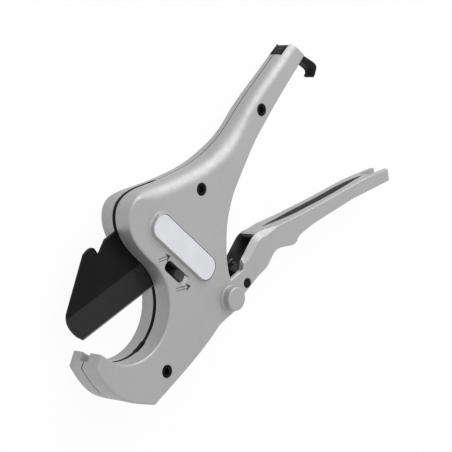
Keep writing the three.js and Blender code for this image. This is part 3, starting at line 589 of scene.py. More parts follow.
def bladeRoom():
    # where the blade swings, through jaw, web and shoulder
    shut = roomLook["shut"]
    tipAngle = math.degrees(math.atan2(*(bladeTip - bladePivot).yx))
    tip = polar(bladePivot, (bladeTip - bladePivot).length, tipAngle + shut)
    slope = math.tan(math.radians(bladeLook["slope"] + shut))
    shoulder = polar(bladePivot, 75, 51)
    left, right, top = tip.x - 14, 24, shoulder.y + 30
    floor = path(*((x, tip.y - 1.5 + (x - tip.x) * slope) for x in (left, right)))
    outline = floor + [bladePivot, shoulder] + path((shoulder.x, top), (left, top))
    room = prism("room", outline, bladeSlotLow, bladeSlotHigh)
    combine(room, [drum("reach", bladePivot, bladeReach + 1, 0, faceZ, 180)], "INTERSECT")
    return combine(room, [drum("root", bladePivot, 29.8, bladeSlotLow, bladeSlotHigh, 90)], "UNION")


def pawlRoom():
    low, high = roomLook["pawlWall"], faceZ - roomLook["pawlWall"]
    floor = path((-30, 13), (-10, 11.4), (8, 12.6), (9.5, 17), (15, 24), (28, 32.5), (37, 37), (37, 50),
                 (30, 58), (-8, 58), (-30, 31))
    room = prism("room", floor, low, high)
    combine(room, [drum("ring", bladePivot, 30.2, low, high, 90)], "UNION")
    combine(room, [drum("wall", jawCentre, jawRadius + 3.2, 0, faceZ, 90),
                   drum("post", (39, 60.7), roomLook["screwPost"], 0, faceZ)], "DIFFERENCE")
    throat = path((6, 9), (22, 9), (34, 26), (30, 36), (12, 24))
    return combine(room, [prism("throat", throat, 8.8, 15.2)], "UNION")


def forkRooms():
    low, high = roomLook["cheekWall"], faceZ - roomLook["cheekWall"]
    sweep = path((-2, -14), (30, -20), (30, 12.4), (13, 12.4), (0, 10))
    return [prism("room", sweep, low, high), drum("eye", (0, 0), roomLook["eye"], low, high, 72)]


def latchRoom():
    half, wide = latchLook["half"] + roomLook["gap"], latchLook["thumbHalf"] + 0.25
    end = gripEnd + 6
    room = boxObject("room", gripEnd - 12.2, end, gripInner - 3, gripInner + 9, middleZ - half,
                     middleZ + half)
    over = boxObject("over", gripEnd - 11.1, end, gripInner + latchLook["floor"], gripBack + 4,
                     middleZ - wide, middleZ + wide)
    return combine(room, [over], "UNION")


def gripRoom():
    low, high = roomLook["gripWall"], faceZ - roomLook["gripWall"]
    end = gripEnd - 24
    outline = path((78, 41.6), (end, gripInner + 5.8), (end, gripBack - 1), (78, 53))
    hollow = prism("hollow", outline, low, high)
    post = drum("post", screwPlaces()[0], roomLook["screwPost"], 0, faceZ)
    return combine(hollow, [post], "DIFFERENCE")


def endCut():
    beyond, top = gripEnd + 40, gripBack + 3
    outline = path((gripEnd, gripInner - 3), (beyond, gripInner - 3), (beyond, top), (gripEnd - 0.8, top))
    return prism("beyond", outline, -1, faceZ + 1)


def jawGuide():
    outline = [tipInner + side for side in path((-5.3, -4.4), (2, -4.8), (2, 5), (-5.3, 5))]
    return prism("guide", outline, partingZ - 3.5, partingZ + 3.5)


def spacerRoom():
    low, high = nodeBox("jaw_spacer")
    gap = roomLook["gap"]
    return boxObject("pocket", low.x - gap, high.x + gap, low.y - gap, high.y + 8, low.z - gap, high.z + gap)


screwLook = {"Head Radius": 3.5, "Head Height": 3.0, "Socket Radius": 2.3, "Shank Radius": 2.0}
windowLook = {"centre": bladePivot + at(-15.2, -3.4), "halves": (3.1, 8.4), "corner": 2.3, "bevel": 0.5}


def windowCut():
    bevel = windowLook["bevel"]
    side = ((0, bladeSlotHigh), (0, faceZ - bevel), (bevel, faceZ), (bevel * 3, faceZ + 2 * bevel))
    return roundedBlock("window", windowLook["centre"], windowLook["halves"], windowLook["corner"], 8, side)


def fingerScoop():
    # a hollow at the window's lower end
    centre, (halfX, halfY) = windowLook["centre"], windowLook["halves"]
    middle = at(centre.y - halfY + 0.6, faceZ + 6.1)
    rings = []
    for offset, radius in ((-halfX - 0.6, 7.5), (-halfX, 7), (halfX, 7), (halfX + 0.6, 7.5)):
        rings.append([(centre.x + offset, *p) for p in circle(middle, radius, 72)])
    return loft("scoop", rings)


def screwHole(place):
    face = faceZ - faceDrop(place[0])
    profile = [(3.8, face - 3.9), (3.8, face - 0.4), (4.1, face + 0.05), (4.1, face + 4)]
    return turned("hole", place, profile, 48)


screwNames = ("screw_grip", "screw_middle", "screw_jaw")


def screwPlaces():
    return [(sum(nodeBox(name), Vector((0, 0, 0))) / 2).xy for name in screwNames]


def pinBores():
    # a bore round each pin and screw shank
    out = []
    for name in ("blade_pivot_pin", "handle_pivot_pin", "holding_pawl_pin", "latch_pin", "dowel_grip",
                 "dowel_jaw"):
        low, high = nodeBox(name)
        radius = (high.x - low.x) / 2 + 0.15
        out.append(drum("bore", ((low + high) / 2).xy, radius, low.z - 0.2, high.z + 0.2, 40))
    for name, place in zip(screwNames, screwPlaces()):
        low, high = nodeBox(name)
        out.append(drum("bore", place, screwLook["Shank Radius"] + 0.15, low.z - 0.3, high.z - 2, 40))
    return out


def hollowed(half, openCuts, cavityShade):
    # takes the rooms out of a half; their walls take the bare casting, made near black as painted shade
    rooms = [bladeRoom(), pawlRoom(), latchRoom(), spacerRoom(), gripRoom()]
    rooms += forkRooms() + pinBores() + openCuts
    return combine(half, [painted(room, cavityShade) for room in rooms], "DIFFERENCE", True)


def makeBody(silver, cavityShade):
    front = halfBody("frontShell", partingZ + bodyLook["seam"], faceZ, silver, cavityShade)
    combine(front, [raisedPad(), pivotBoss()], "UNION")
    combine(front, [endCut(), fingerScoop(), jawGuide()], "DIFFERENCE")
    plateLow = nodeBox("label_plate")[0].z - 0.1
    seat = padBlock("seat", ((0.3, plateLow), (0.3, plateLow + 3)))
    openCuts = [seat, windowCut()] + [screwHole(place) for place in screwPlaces()]
    finishPiece(hollowed(front, openCuts, cavityShade), silver, "body", ["front_shell"])
    rear = halfBody("rearShell", partingZ - bodyLook["seam"], 0, silver, cavityShade)
    combine(rear, [endCut(), jawGuide()], "DIFFERENCE")
    finishPiece(hollowed(rear, [], cavityShade), silver, "body", ["rear_shell"])
    print("body halves:", len(front.data.polygons), "and", len(rear.data.polygons), "faces")


class Repeat:
    # a geometry node tree over a line or some points, with named sizes
    def __init__(self, name):
        self.tree = bpy.data.node_groups.new(name, "GeometryNodeTree")
        for side in ("INPUT", "OUTPUT"):
            self.tree.interface.new_socket("Geometry", in_out=side, socket_type="NodeSocketGeometry")
        self.start = self.tree.nodes.new("NodeGroupInput")
        self.sockets = {}

    def size(self, name, kind="NodeSocketFloat"):
        self.sockets[name] = self.tree.interface.new_socket(name, in_out="INPUT", socket_type=kind).identifier
        return self.start.outputs[name]

    def add(self, kind, inputs=(), **settings):
        return addNode(self.tree, kind, inputs, **settings).outputs[0]

    def close(self, geometry, material):
        whole = self.add("GeometryNodeRealizeInstances", {"Geometry": geometry})
        painted = self.add("GeometryNodeSetMaterial", {"Geometry": whole, "Material": material})
        end = self.tree.nodes.new("NodeGroupOutput")
        self.tree.links.new(painted, end.inputs[0])

    def make(self, name, points, values, line=True):
        mesh = bpy.data.meshes.new(name)
        edges = [(i, i + 1) for i in range(len(points) - 1)] if line else []
        mesh.from_pydata([tuple(p) for p in points], edges, [])
        obj = bpy.data.objects.new(name, mesh)
        bpy.context.scene.collection.objects.link(obj)
        modifier = obj.modifiers.new(name, "NODES")
        modifier.node_group = self.tree
        for key, value in values.items():
            modifier[self.sockets[key]] = value
        return settle(obj)


def wireTree(material):
    # round wire along a line
    tree = Repeat("springWire")
    line = tree.add("GeometryNodeMeshToCurve", {"Mesh": tree.start.outputs[0]})
    section = tree.add("GeometryNodeCurvePrimitiveCircle", {
        "Resolution": tree.size("Sides", "NodeSocketInt"), "Radius": tree.size("Wire Radius")})
    tree.close(tree.add("GeometryNodeCurveToMesh", {
        "Curve": line, "Profile Curve": section, "Fill Caps": True}), material)
    return tree


def ribTree(material):
    # rounded bars set across a line, half sunk in the surface under it
    tree = Repeat("thumbRibs")
    line = tree.add("GeometryNodeMeshToCurve", {"Mesh": tree.start.outputs[0]})
    places = tree.add("GeometryNodeResampleCurve", {
        "Curve": line, "Count": tree.size("Count", "NodeSocketInt")})
    bar = tree.add("GeometryNodeMeshCylinder", {
        "Vertices": 20, "Radius": tree.size("Rib Radius"), "Depth": tree.size("Rib Length")})
    tree.close(tree.add("GeometryNodeInstanceOnPoints", {
        "Points": places, "Instance": bar, "Rotation": tree.size("Turn", "NodeSocketVector")}), material)
    return tree


def screwTree(material):
    # socket screws: shank, head with a narrowed rim, six-sided socket; the point is under the head
    tree = Repeat("socketScrews")
    head, height, socket = tree.size("Head Radius"), tree.size("Head Height"), tree.size("Socket Radius")
    shank, length = tree.size("Shank Radius"), tree.size("Shank Length")

    def lifted(mesh, z):
        offset = tree.add("ShaderNodeCombineXYZ", {"Z": z})
        return tree.add("GeometryNodeTransform", {"Geometry": mesh, "Translation": offset})

    def part(first, second, how):
        return tree.add("ShaderNodeMath", {0: first, 1: second}, operation=how)

    lower = part(height, 0.85, "MULTIPLY")
    drum = tree.add("GeometryNodeMeshCylinder", {"Vertices": 48, "Radius": head, "Depth": lower})
    rim = tree.add("GeometryNodeMeshCone", {
        "Vertices": 48, "Radius Top": part(head, 0.88, "MULTIPLY"), "Radius Bottom": head,
        "Depth": part(height, 0.15, "MULTIPLY")})
    pit = tree.add("GeometryNodeMeshCylinder", {"Vertices": 6, "Radius": socket, "Depth": height})
    stem = tree.add("GeometryNodeMeshCylinder", {"Vertices": 32, "Radius": shank, "Depth": length})
    solid = tree.add("GeometryNodeMeshBoolean", {
        "Mesh 2": lifted(drum, part(lower, 0.5, "MULTIPLY"))}, operation="UNION")
    union = solid.node
    tree.tree.links.new(lifted(rim, lower), union.inputs["Mesh 2"])
    tree.tree.links.new(lifted(stem, part(length, -0.49, "MULTIPLY")), union.inputs["Mesh 2"])
    screw = tree.add("GeometryNodeMeshBoolean", {"Mesh 1": solid, "Mesh 2": lifted(pit, height)},
                     operation="DIFFERENCE")
    tree.close(tree.add("GeometryNodeInstanceOnPoints", {
        "Points": tree.start.outputs[0], "Instance": screw}), material)
    return tree


handleLook = {
    "slant": -29.0,  # degrees
    "reach": 169.5,
    "eyeRadius": 8,
    "forkHalf": 10.1,
    "neckHalf": 9.2,
    "endHalf": 8.1,
    "cheek": 3.6,
    "edgeRound": 0.8,
    "cheekChamfer": 3.3,
    "grooveHalf": 3.7,
    "grooveDepth": 7,
    "notchHalf": 4.6,
    "step": 1.4,
    "roundSteps": 5,
}
slotLow = middleZ - handleLook["forkHalf"] + handleLook["cheek"]
slotHigh = middleZ + handleLook["forkHalf"] - handleLook["cheek"]
drivePivot = hinges["drive_pawl_hinge"].xy
springPost = at(26.5, -3.5)
slantTurn = Matrix.Rotation(math.radians(handleLook["slant"]), 4, "Z")


def handleFrame(point):
    return point @ Matrix.Rotation(math.radians(handleLook["slant"]), 2)


def handleOutline(step):
    # u runs from the pivot to the end, v towards the fixed grip
    end, eye = handleLook["reach"], handleLook["eyeRadius"]
    points = arc((0, 0), eye, math.degrees(1.31), 286, step * 0.6)
    points.append(polar((0, 0), eye, 286))
    points += through(path((28.7, -0.7), (38.2, 1), (43, 3.6), (47.9, 6.1), (53.1, 6.4), (60, 4.2),
                           (65.4, 2.3), (69.5, 2.8)), step)
    points += through(path((69.5, 2.8), (73.1, 5), (86, 5.6), (end - 70, 4.9), (end - 39.8, 2.7)), step * 1.5)
    points += path((end - 39.8, 2.7), (end - 1.8, -2.8))
    points += through(path((end, 5.1), (end - 23.5, 9.4), (end - 39.5, 11.4), (end - 61.5, 13.6), (76, 17.6),
                           (55, 20.9)), step * 1.5)
    points += through(path((55, 20.9), (48.5, 22.1), (42, 23.2)), step)
    points += through(path((42, 23.2), (39, 22.9), (36, 22.1), (31, 19.5), (26, 16.7), (21.5, 14.2),
                           (18.3, 9.6)), step)
    points.append(at(18.3, 9.6))
    return cleaned(points)


def handleHalfAt(u):
    # full width at the fork, then narrowing in two straights
    fork, neck, end = handleLook["forkHalf"], handleLook["neckHalf"], handleLook["endHalf"]
    if u <= 60:
        return fork
    if u <= 110:
        return fork + (neck - fork) * (u - 60) / 50
    return neck + (end - neck) * (u - 110) / 64


def cheekChamferAt(point):
    # the wide flat along the inner edge of both cheeks, running out to a point
    if point.y < 12 or point.x < 20 or point.x > 60:
        return 0
    return handleLook["cheekChamfer"] * min(1, (point.x - 20) / 2.5, (60 - point.x) / 14)


def grooveCut():
    # a long pointed groove along the inner side
    first, last = 53.0, handleLook["reach"] - 16
    stations = 40
    rings = []
    for i in range(stations + 1):
        t = i / stations
        u = first + (last - first) * t
        swell = math.sin(math.pi * t)
        half = max(0.05, handleLook["grooveHalf"] * min(1, swell * 1.3) ** 0.7)
        depth = max(0.1, handleLook["grooveDepth"] * min(1, swell * 1.7))
        floor = 20.9 - (u - 55) * 0.118 - 0.6 - depth
        section = ((40, -1), (40, 1), (floor + 0.4, 1), (floor, 0.8), (floor, -0.8), (floor + 0.4, -1))
        rings.append([(u, v, middleZ + half * side) for v, side in section])
    return loft("groove", rings)


def makeHandle(silver, cavityShade, grooveShade):
    outline = handleOutline(handleLook["step"])
    inward = inwardAt(outline)
    steps = handleLook["roundSteps"]
    rings = []
    for side in (-1, 1):
        for step in range(steps + 1):
            angle = math.pi / 2 * (step / steps if side > 0 else 1 - step / steps)
            ring = []
            for p, n in zip(outline, inward):
                flat = cheekChamferAt(p)
                small = handleLook["edgeRound"]
                if flat > small:
                    t = angle * 2 / math.pi
                    inset, drop = flat * t, flat * (1 - t)
                else:
                    inset, drop = small * (1 - math.cos(angle)), small * (1 - math.sin(angle))
                moved = p + n * inset
                ring.append((moved.x, moved.y, middleZ + side * (handleHalfAt(p.x) - drop)))
            rings.append(ring)
    handle = painted(loft("movingHandle", rings), silver)
    end, notch = handleLook["reach"], handleLook["notchHalf"]
    low, high = middleZ - handleLook["forkHalf"], middleZ + handleLook["forkHalf"]
    # the fork's and the hollow's walls take the near-black casting: painted shade inside them
    rooms = [
        painted(boxObject("fork", -14, 39.5, -20, 40, slotLow, slotHigh), cavityShade),
        painted(boxObject("hollow", 39, 45, 8, 20.2, slotLow, slotHigh), cavityShade),
        # the groove's walls take a darker copy of the silver: painted shade in the groove
        painted(grooveCut(), grooveShade),
    ]
    combine(handle, rooms, "DIFFERENCE", True)
    pinHole = [(2.35, low + 0.8), (2.35, high - 0.9), (3.2, high - 0.9), (3.2, high - 0.2), (3.6, high + 0.2),
               (3.6, high + 1)]
    cuts = [
        boxObject("line", 39, 40.1, 21.7, 22.3, slotLow - 0.2, slotHigh + 0.2),
        boxObject("notch", end - 14.5, end + 5, -20, 40, middleZ - notch, middleZ + notch),
        drum("eye", (0, 0), 4.15, low - 1, high + 1),
        turned("pinHole", handleFrame(drivePivot), pinHole, 48),
        drum("postHole", handleFrame(springPost), 1.55, low + 0.8, slotLow + 1, 32),
    ]
    combine(handle, cuts, "DIFFERENCE")
    handle.data.transform(slantTurn)
    finishPiece(handle, silver, "moving_handle", ["moving_handle"])
    print("moving handle:", len(handle.data.polygons), "faces")


def makeDrivePin(steel):
    # the drive pawl's pin, its end spread into a low head
    low, high = (corner.z for corner in nodeBox("drive_pawl_pin"))
    radius, head = 2.2, 2.95
    profile = [(radius - 0.3, low), (radius, low + 0.3), (radius, high - 0.3), (head, high - 0.3),
               (head, high + 0.05), (head - 0.25, high + 0.3), (head - 0.7, high + 0.42)]
    rivet = turned("driveRivet", drivePivot, profile)
    finishPiece(rivet, steel, "moving_handle", ["drive_pawl_pin"])


springLooks = {
    "handleReturnSpring": {
        "node": "handle_return_spring", "body": "moving_handle", "centre": (0, 0), "turn": 0,
        "radius": 7.4, "wire": 0.7, "low": slotLow + 1.3, "high": slotHigh - 1.7, "turns": 3.25,
        "start": 90, "legs": (38.9, 4.2)},
    "drivePawlSpring": {
        "node": "drive_pawl_spring", "body": "moving_handle", "centre": handleFrame(springPost),
        "turn": 108.86, "radius": 2.4, "wire": 0.4, "low": slotLow + 0.8, "high": slotLow + 2.6,
        "turns": 1.75, "start": 90, "legs": (3, 12)},
    "holdingPawlSpring": {
        "node": "holding_pawl_spring", "body": "body", "centre": hinges["holding_pawl_hinge"].xy,
        "turn": 0, "radius": 3.3, "wire": 0.45, "low": 7.4, "high": 9, "turns": 1.5, "start": 0,
        "legs": (7, 7)},
}


def coilPath(look):
    # a coil with a straight leg leaving it at each end
    perTurn = 36
    start, drop = look["start"], look["low"] - look["high"]
    count = round(look["turns"] * perTurn)
    points = []
    for i in range(count + 1):
        p = polar((0, 0), look["radius"], start + 360 * i / perTurn)
        points.append(Vector((*p, look["high"] + drop * i / count)))
    firstLeg, lastLeg = look["legs"]
    points.insert(0, points[0] - polar((0, 0), 1, start + 90).to_3d() * firstLeg)
    points.append(points[-1] + polar((0, 0), 1, start + 360 * look["turns"] + 90).to_3d() * lastLeg)
    turn = Matrix.Rotation(math.radians(look["turn"]), 3, "Z")
    return [turn @ p + Vector((*look["centre"], 0)) for p in points]


def makeSprings(steel):
    tree = wireTree(steel)
    for name, look in springLooks.items():
        spring = tree.make(name, coilPath(look), {"Sides": 14, "Wire Radius": look["wire"]})
        if look["body"] == "moving_handle":
            spring.data.transform(slantTurn)
        finishPiece(spring, steel, look["body"], [look["node"]], 60)
    print("springs:", len(springLooks))


bladeShape = {"half": 1.15, "edgeHalf": 0.15, "rim": 0.14, "step": 1.2, "bore": 5.15}
teethLook = {"tip": 28.6, "root": 26.4, "pitch": 6, "first": -120, "last": 16}


def bladeOutline(step):
    slope = math.tan(math.radians(bladeLook["slope"]))
    tip, root, last = teethLook["tip"], teethLook["root"], teethLook["last"]
    points = [bladeTip, bladeTip + at(65, 65 * slope), polar(bladePivot, root, teethLook["first"])]
    for angle in range(teethLook["first"], last, teethLook["pitch"]):
        points += [polar(bladePivot, tip, angle + 0.6), polar(bladePivot, root, angle + teethLook["pitch"])]
    points += [polar(bladePivot, 18, last + 22), polar(bladePivot, 13, last + 52)]
    # the back, with its notch and hook
    back = bladeTip + at(jawRadius, 0)
    neck, hook, brow = (back + side for side in path((32, 17.2), (15.2, 25.6), (7.9, 29.2)))
    points += pulled(polar(bladePivot, 34, 101), neck + at(5, -2.4), neck, step)
    points += [neck, back + at(24.1, 21), back + at(14, 19.8), hook]
    points += pulled(hook, back + at(14.4, 28.4), brow, step)[1:] + [brow]
    # the rounded nose
    nose, chin = bladeTip + at(5.9, 19.4), bladeTip + at(-0.9, 5)
    return cleaned(points + bezier(nose, nose + at(-5.4, -2.3), chin + at(-0.3, 5.5), chin, step) + [chin])


def rimmed(name, outline, low, high, rim):
    # a plate with narrow bevels round both faces
    inward = inwardAt(outline)
    rings = []
    for inset, z in ((rim, low), (0, low + rim), (0, high - rim), (rim, high)):
        rings.append([(*(p + n * inset), z) for p, n in zip(outline, inward)])
    return loft(name, rings)


def groundCut(side):
    # the wedge taken off one side of the cutting edge
    slope = math.radians(bladeLook["slope"])
    along = at(math.cos(slope), math.sin(slope))
    into = at(-along.y, along.x)
    half, thin, width = bladeShape["half"], bladeShape["edgeHalf"], bladeLook["groundWidth"]
    section = [(-4, thin), (0, thin), (width, half), (width, half + 1), (-4, half + 1)]
    rings = []
    for run in (-12, 70):
        rings.append([(*(bladeTip + along * run + into * x), partingZ + side * z) for x, z in section])
    return loft("ground", rings)


def makeBlade(steel):
    half = bladeShape["half"]
    outline = bladeOutline(bladeShape["step"])
    blade = rimmed("cuttingBlade", outline, partingZ - half, partingZ + half, bladeShape["rim"])
    bore = drum("bore", bladePivot, bladeShape["bore"], partingZ - 5, partingZ + 5)
    combine(blade, [bore, groundCut(1), groundCut(-1)], "DIFFERENCE")
    finishPiece(blade, steel, "blade", ["blade"], 3)
    print("blade:", len(blade.data.polygons), "faces")


pawlLook = {"half": 2.1, "rim": 0.25, "pinHole": 2.35, "hubRadius": 4.8, "hubHalf": 3.8, "clearance": 0.6}
handleTravel = 37.0  # degrees
pawlRatio = -1.18  # the drive pawl's turn for one of the handle's


def turnedAbout(point, centre, degrees):
    return centre + (point - centre) @ Matrix.Rotation(math.radians(-degrees), 2)


def makePawls(steel):
    reach = teethLook["tip"] + pawlLook["clearance"]
    low, high = partingZ - pawlLook["half"], partingZ + pawlLook["half"]
    arm = path((12.3, -6.2), (20.8, -7), (18.2, 5), (20.6, 15.5), (23.6, 22.8), (27, 30))
    arm += [polar(bladePivot, reach + 2.4, -40.6), polar(bladePivot, reach, -45)]
    arm += path((19, 31), (14, 24), (13, 16), (11.9, 5))
    hook = rimmed("drivePawl", arm, low, high, pawlLook["rim"])
    rings = []
    for part in (0, 0.25, 0.5, 0.75, 1):
        inHandle = turnedAbout(bladePivot, at(0, 0), -handleTravel * part)
        centre = turnedAbout(inHandle, drivePivot, -pawlRatio * handleTravel * part)
        rings.append(drum("toothRing", centre, reach - 0.2, 0, faceZ, 180))
    combine(hook, rings, "DIFFERENCE")
    half, hub = pawlLook["hubHalf"], pawlLook["hubRadius"]
    profile = [(hub - 0.3, middleZ - half), (hub, middleZ - half + 0.3), (hub, middleZ + half - 0.3),
               (hub - 0.3, middleZ + half)]
    combine(hook, [turned("hub", drivePivot, profile)], "UNION")
    combine(hook, [drum("pin", drivePivot, pawlLook["pinHole"], 0, faceZ)], "DIFFERENCE")
    finishPiece(hook, steel, "drive_pawl", ["drive_pawl"])

    pivot = hinges["holding_pawl_hinge"].xy
    arm = path((-16, 19.2), (-11, 17.9), (-2, 19.4), (6.3, 21.3)) + [polar(bladePivot, reach, -84)]
    arm += path((2.5, 22.6), (-3, 23.2), (-10, 25.3), (-17, 24.6), (-25.2, 24.4), (-25.2, 19.7))
    pawl = rimmed("holdingPawl", arm, low, high, pawlLook["rim"])
    combine(pawl, [drum("eye", pivot, 4.3, low, high)], "UNION")
    combine(pawl, [drum("pin", pivot, pawlLook["pinHole"], 0, faceZ)], "DIFFERENCE")
    finishPiece(pawl, steel, "holding_pawl", ["holding_pawl"])
    print("pawls done")


def makeLabel(paint):
    low, high = (corner.z for corner in nodeBox("label_plate"))
    plate = padBlock("labelPlate", ((0, low), (0, high - 0.2), (-0.06, high - 0.06), (-0.2, high)))
    finishPiece(plate, paint, "body", ["label_plate"])


def makeScrews(steel):
    # the one in the grip is shorter, as the grip is thinner
    tree = screwTree(steel)
    for name, nodes in (("gripScrew", screwNames[:1]), ("bodyScrews", screwNames[1:])):
        boxes = [nodeBox(node) for node in nodes]
        low, high = boxes[0]
        seat = high.z - screwLook["Head Height"]
        length = seat - low.z
        places = [(*((low + high) / 2).xy, seat) for low, high in boxes]
        screws = tree.make(name, places, {**screwLook, "Shank Length": length}, line=False)
        finishPiece(screws, steel, "body", nodes)
    print("screws done")


sliderLook = {"length": 8.0, "gap": 0.3, "corner": 2.1, "edge": 0.35, "proud": 0.4, "ribs": 4,
              "ribRadius": 0.45}


def makeSlider(plastic, tree):
    gap, length, edge = sliderLook["gap"], sliderLook["length"], sliderLook["edge"]
    centre, halfX = windowLook["centre"], windowLook["halves"][0] - gap
    left, right = centre.x - halfX, centre.x + halfX
    bottom = centre.y - windowLook["halves"][1] + gap
    low, high, top = partingZ + 2.75, faceZ - 6.7, faceZ + sliderLook["proud"]
    middle = at(centre.x, bottom + length / 2)
    side = ((0, low), (0, top - edge), (-edge * 0.3, top - edge * 0.3), (-edge, top))
    button = roundedBlock("releaseSlider", middle, (halfX, length / 2), sliderLook["corner"], 6, side)
    tongue = path((left, bottom + 8), (-19, 38), (-25.5, 31), (-25.5, 15.4), (-18.6, 15.4), (-18.6, 30),
                  (right, bottom + 1), (right, bottom + 8))
    foot = boxObject("foot", -25.3, -23.7, 15.4, 19.1, partingZ - pawlLook["half"], low + 0.1)
    combine(button, [prism("tongue", tongue, low, high), foot], "UNION")
    finishPiece(button, plastic, "release_slider", ["release_slider"])
    line = [(centre.x, bottom + 1.2, top), (centre.x, bottom + length - 1.2, top)]
    ribs = tree.make("releaseRibs", line, {
        "Count": sliderLook["ribs"], "Rib Radius": sliderLook["ribRadius"], "Rib Length": 2 * halfX - 1.0,
        "Turn": (0, math.pi / 2, 0)})
    finishPiece(ribs, plastic, "release_slider")
    print("release slider done")


def gripPath(*pairs):
    # points measured from the inner corner of the grip's end
    return [at(gripEnd + x, gripInner + y) for x, y in pairs]


def makeLatch(plastic, greyPlasticAndRibSheen, tree):
    floor, width = latchLook["floor"], gripLook["endWidth"]
    arm = gripPath((-8.5, floor + 3), (-8.5, 2.1), (-7.7, 0.9), (-4.5, 0.1), (-2.6, -1))
    arm += bezier(*gripPath((-1.6, -4), (-0.9, -7), (-0.1, -10), (0.3, -14)), 1)
    arm += gripPath((0.3, -14), (0.1, -15.6), (-0.6, -16.5), (-1.6, -16.9), (-2.9, -16.8), (-3.3, -17.6),
                    (-2.9, -18.8), (-1.4, -19), (3.3, -17.6), (4.5, -16.6), (4.9, -15.2), (4.7, -12.5),
                    (3.7, -8.3), (2.7, -4.1), (1.4, -1.6), (-0.2, 0.4), (-0.2, floor + 3))
    half, wide, rim = latchLook["half"], latchLook["thumbHalf"], latchLook["rim"]
    latch = rimmed("lockLatch", arm, middleZ - half, middleZ + half, rim)
    thumb = gripPath((-10.8, floor + 2.1), (0.4, floor + 2.1))
    thumb += bezier(*gripPath((0.4, width - 5.2), (0.3, width - 2.2), (-2, width), (-6, width + 0.4)), 0.6)
    thumb += bezier(*gripPath((-6, width + 0.4), (-8, width + 0.6), (-10, width + 0.6), (-10.8, width - 0.4)),
                    0.6)
    thumb += gripPath((-10.8, width - 0.4))
    cap = rimmed("cap", thumb, middleZ - wide, middleZ + wide, rim)
    radius = latchLook["crownRadius"]
    rings = []
    for run in (-30, 30):
        ring = circle((gripBack - radius + 0.2 - 0.145 * run, middleZ), radius, 160)
        rings.append([(gripEnd + run, *p) for p in ring])
    combine(cap, [loft("crown", rings)], "INTERSECT")
    combine(latch, [cap], "UNION")
    combine(latch, [drum("pin", latchPivot, 1.75, 0, faceZ, 32)], "DIFFERENCE")
    finishPiece(latch, plastic, "lock_latch", ["lock_latch"])
    # the ribs take the greyer plastic: a painted sheen on their tops against the black cap
    line = [(*p, middleZ) for p in gripPath((-9, width + 0.15), (-6, width), (-3.6, width - 0.6))]
    ribs = tree.make("latchRibs", line, {
        "Count": latchLook["ribs"], "Rib Radius": latchLook["ribRadius"], "Rib Length": 2 * wide - 4.2,
        "Turn": (0, 0, 0)})
    finishPiece(ribs, greyPlasticAndRibSheen, "lock_latch")
    print("lock latch done")


arrowLook = {"places": ((-14.4, 64.3, -6.7, 58.1), (-20.7, 42.3, -12.3, 33.7)), "headLength": 4.0,
             "headHalf": 2.5, "lineWidth": 0.38, "spread": 0.62, "rise": 0.06}


def makeArrows(markTone):
    # direction arrows beside the release window: dark heads and pairs of thin dark lines
    long, half = arrowLook["headLength"], arrowLook["headHalf"]
    shapes = {"arrowHeads": [], "arrowShafts": []}
    for x0, y0, x1, y1 in arrowLook["places"]:
        tail, tip = at(x0, y0), at(x1, y1)
        along = (tip - tail).normalized()
        side = at(-along.y, along.x)
        back, stop = tip - along * long, tip - along * long * 0.9
        shapes["arrowHeads"].append([tip, back + side * half, tip - along * long * 0.72, back - side * half])
        for sign in (-1, 1):
            low = side * sign * arrowLook["spread"]
            wide = side * sign * (arrowLook["spread"] + arrowLook["lineWidth"])
            shapes["arrowShafts"].append([tail + low, stop + low, stop + wide, tail + wide])
    for name, outlines in shapes.items():
        arrows = plates(name, outlines, faceZ - 0.02, faceZ + arrowLook["rise"])
        finishPiece(arrows, markTone, "body")
    print("arrows done")


def dressNodes(names, material):
    # nodes whose shape is right keep it and take the finish
    for name in names:
        for slot in frame["nodes"][name].material_slots:
            slot.material = material


stageLook = {"half": 6.0, "below": 0.00002, "floorShade": 0.86, "cameraWhite": 0.95, "world": 0.66}


def backgroundRays(tree):
    # 1 for the rays that show the background: straight from the camera, reflected or let through
    rays = addNode(tree, "ShaderNodeLightPath").outputs
    seen = rays["Is Camera Ray"]
    for kind in ("Is Glossy Ray", "Is Transmission Ray"):
        seen = addNode(tree, "ShaderNodeMath", {0: seen, 1: rays[kind]}, operation="MAXIMUM").outputs[0]
    return seen


def makeFloor():
    half = stageLook["half"]
    square = ((-half, -half), (half, -half), (half, half), (-half, half))
    corners = [(x, y, -stageLook["below"]) for x, y in square]
    floor = meshObject("floor", corners, [(0, 1, 2, 3)])
    f = Finish("paleFloor")
    shade = stageLook["floorShade"]
    f.set("Base Color", f.clouds(f.noise(3, 3), grey(shade), grey(shade * 1.02)))
    f.set("Roughness", 0.9)
    light = f.add("ShaderNodeEmission", {"Color": (1, 1, 1, 1), "Strength": 1.0})
    amount = f.math("MULTIPLY", backgroundRays(f.tree), stageLook["cameraWhite"])
    mix = f.add("ShaderNodeMixShader", {0: amount, 1: f.shader.outputs[0], 2: light.outputs[0]})
    f.tree.links.new(mix.outputs[0], f.tree.nodes["Material Output"].inputs["Surface"])
    painted(floor, f.material)


def makeWorld():
    world = bpy.data.worlds.new("studio")
    world.use_nodes = True
    bpy.context.scene.world = world
    tree = world.node_tree
    strength = addNode(tree, "ShaderNodeMapRange", {
        "Value": backgroundRays(tree), "To Min": stageLook["world"], "To Max": 1.0}).outputs[0]
    back = tree.nodes["Background"]
    put(tree, back.inputs["Color"], (1, 1, 1, 1))
    put(tree, back.inputs["Strength"], strength)


lampLooks = {
    "key": {"from": (0.78, 0.3, 0.55), "distance": 1.1, "size": (0.8, 1.2), "power": 8.5},
    "fill": {"from": (-0.8, 0.2, 0.6), "distance": 1.4, "size": (1.2, 1.2), "power": 0.5},
}
lampTarget = Vector((0.035, 0.03, 0.01))


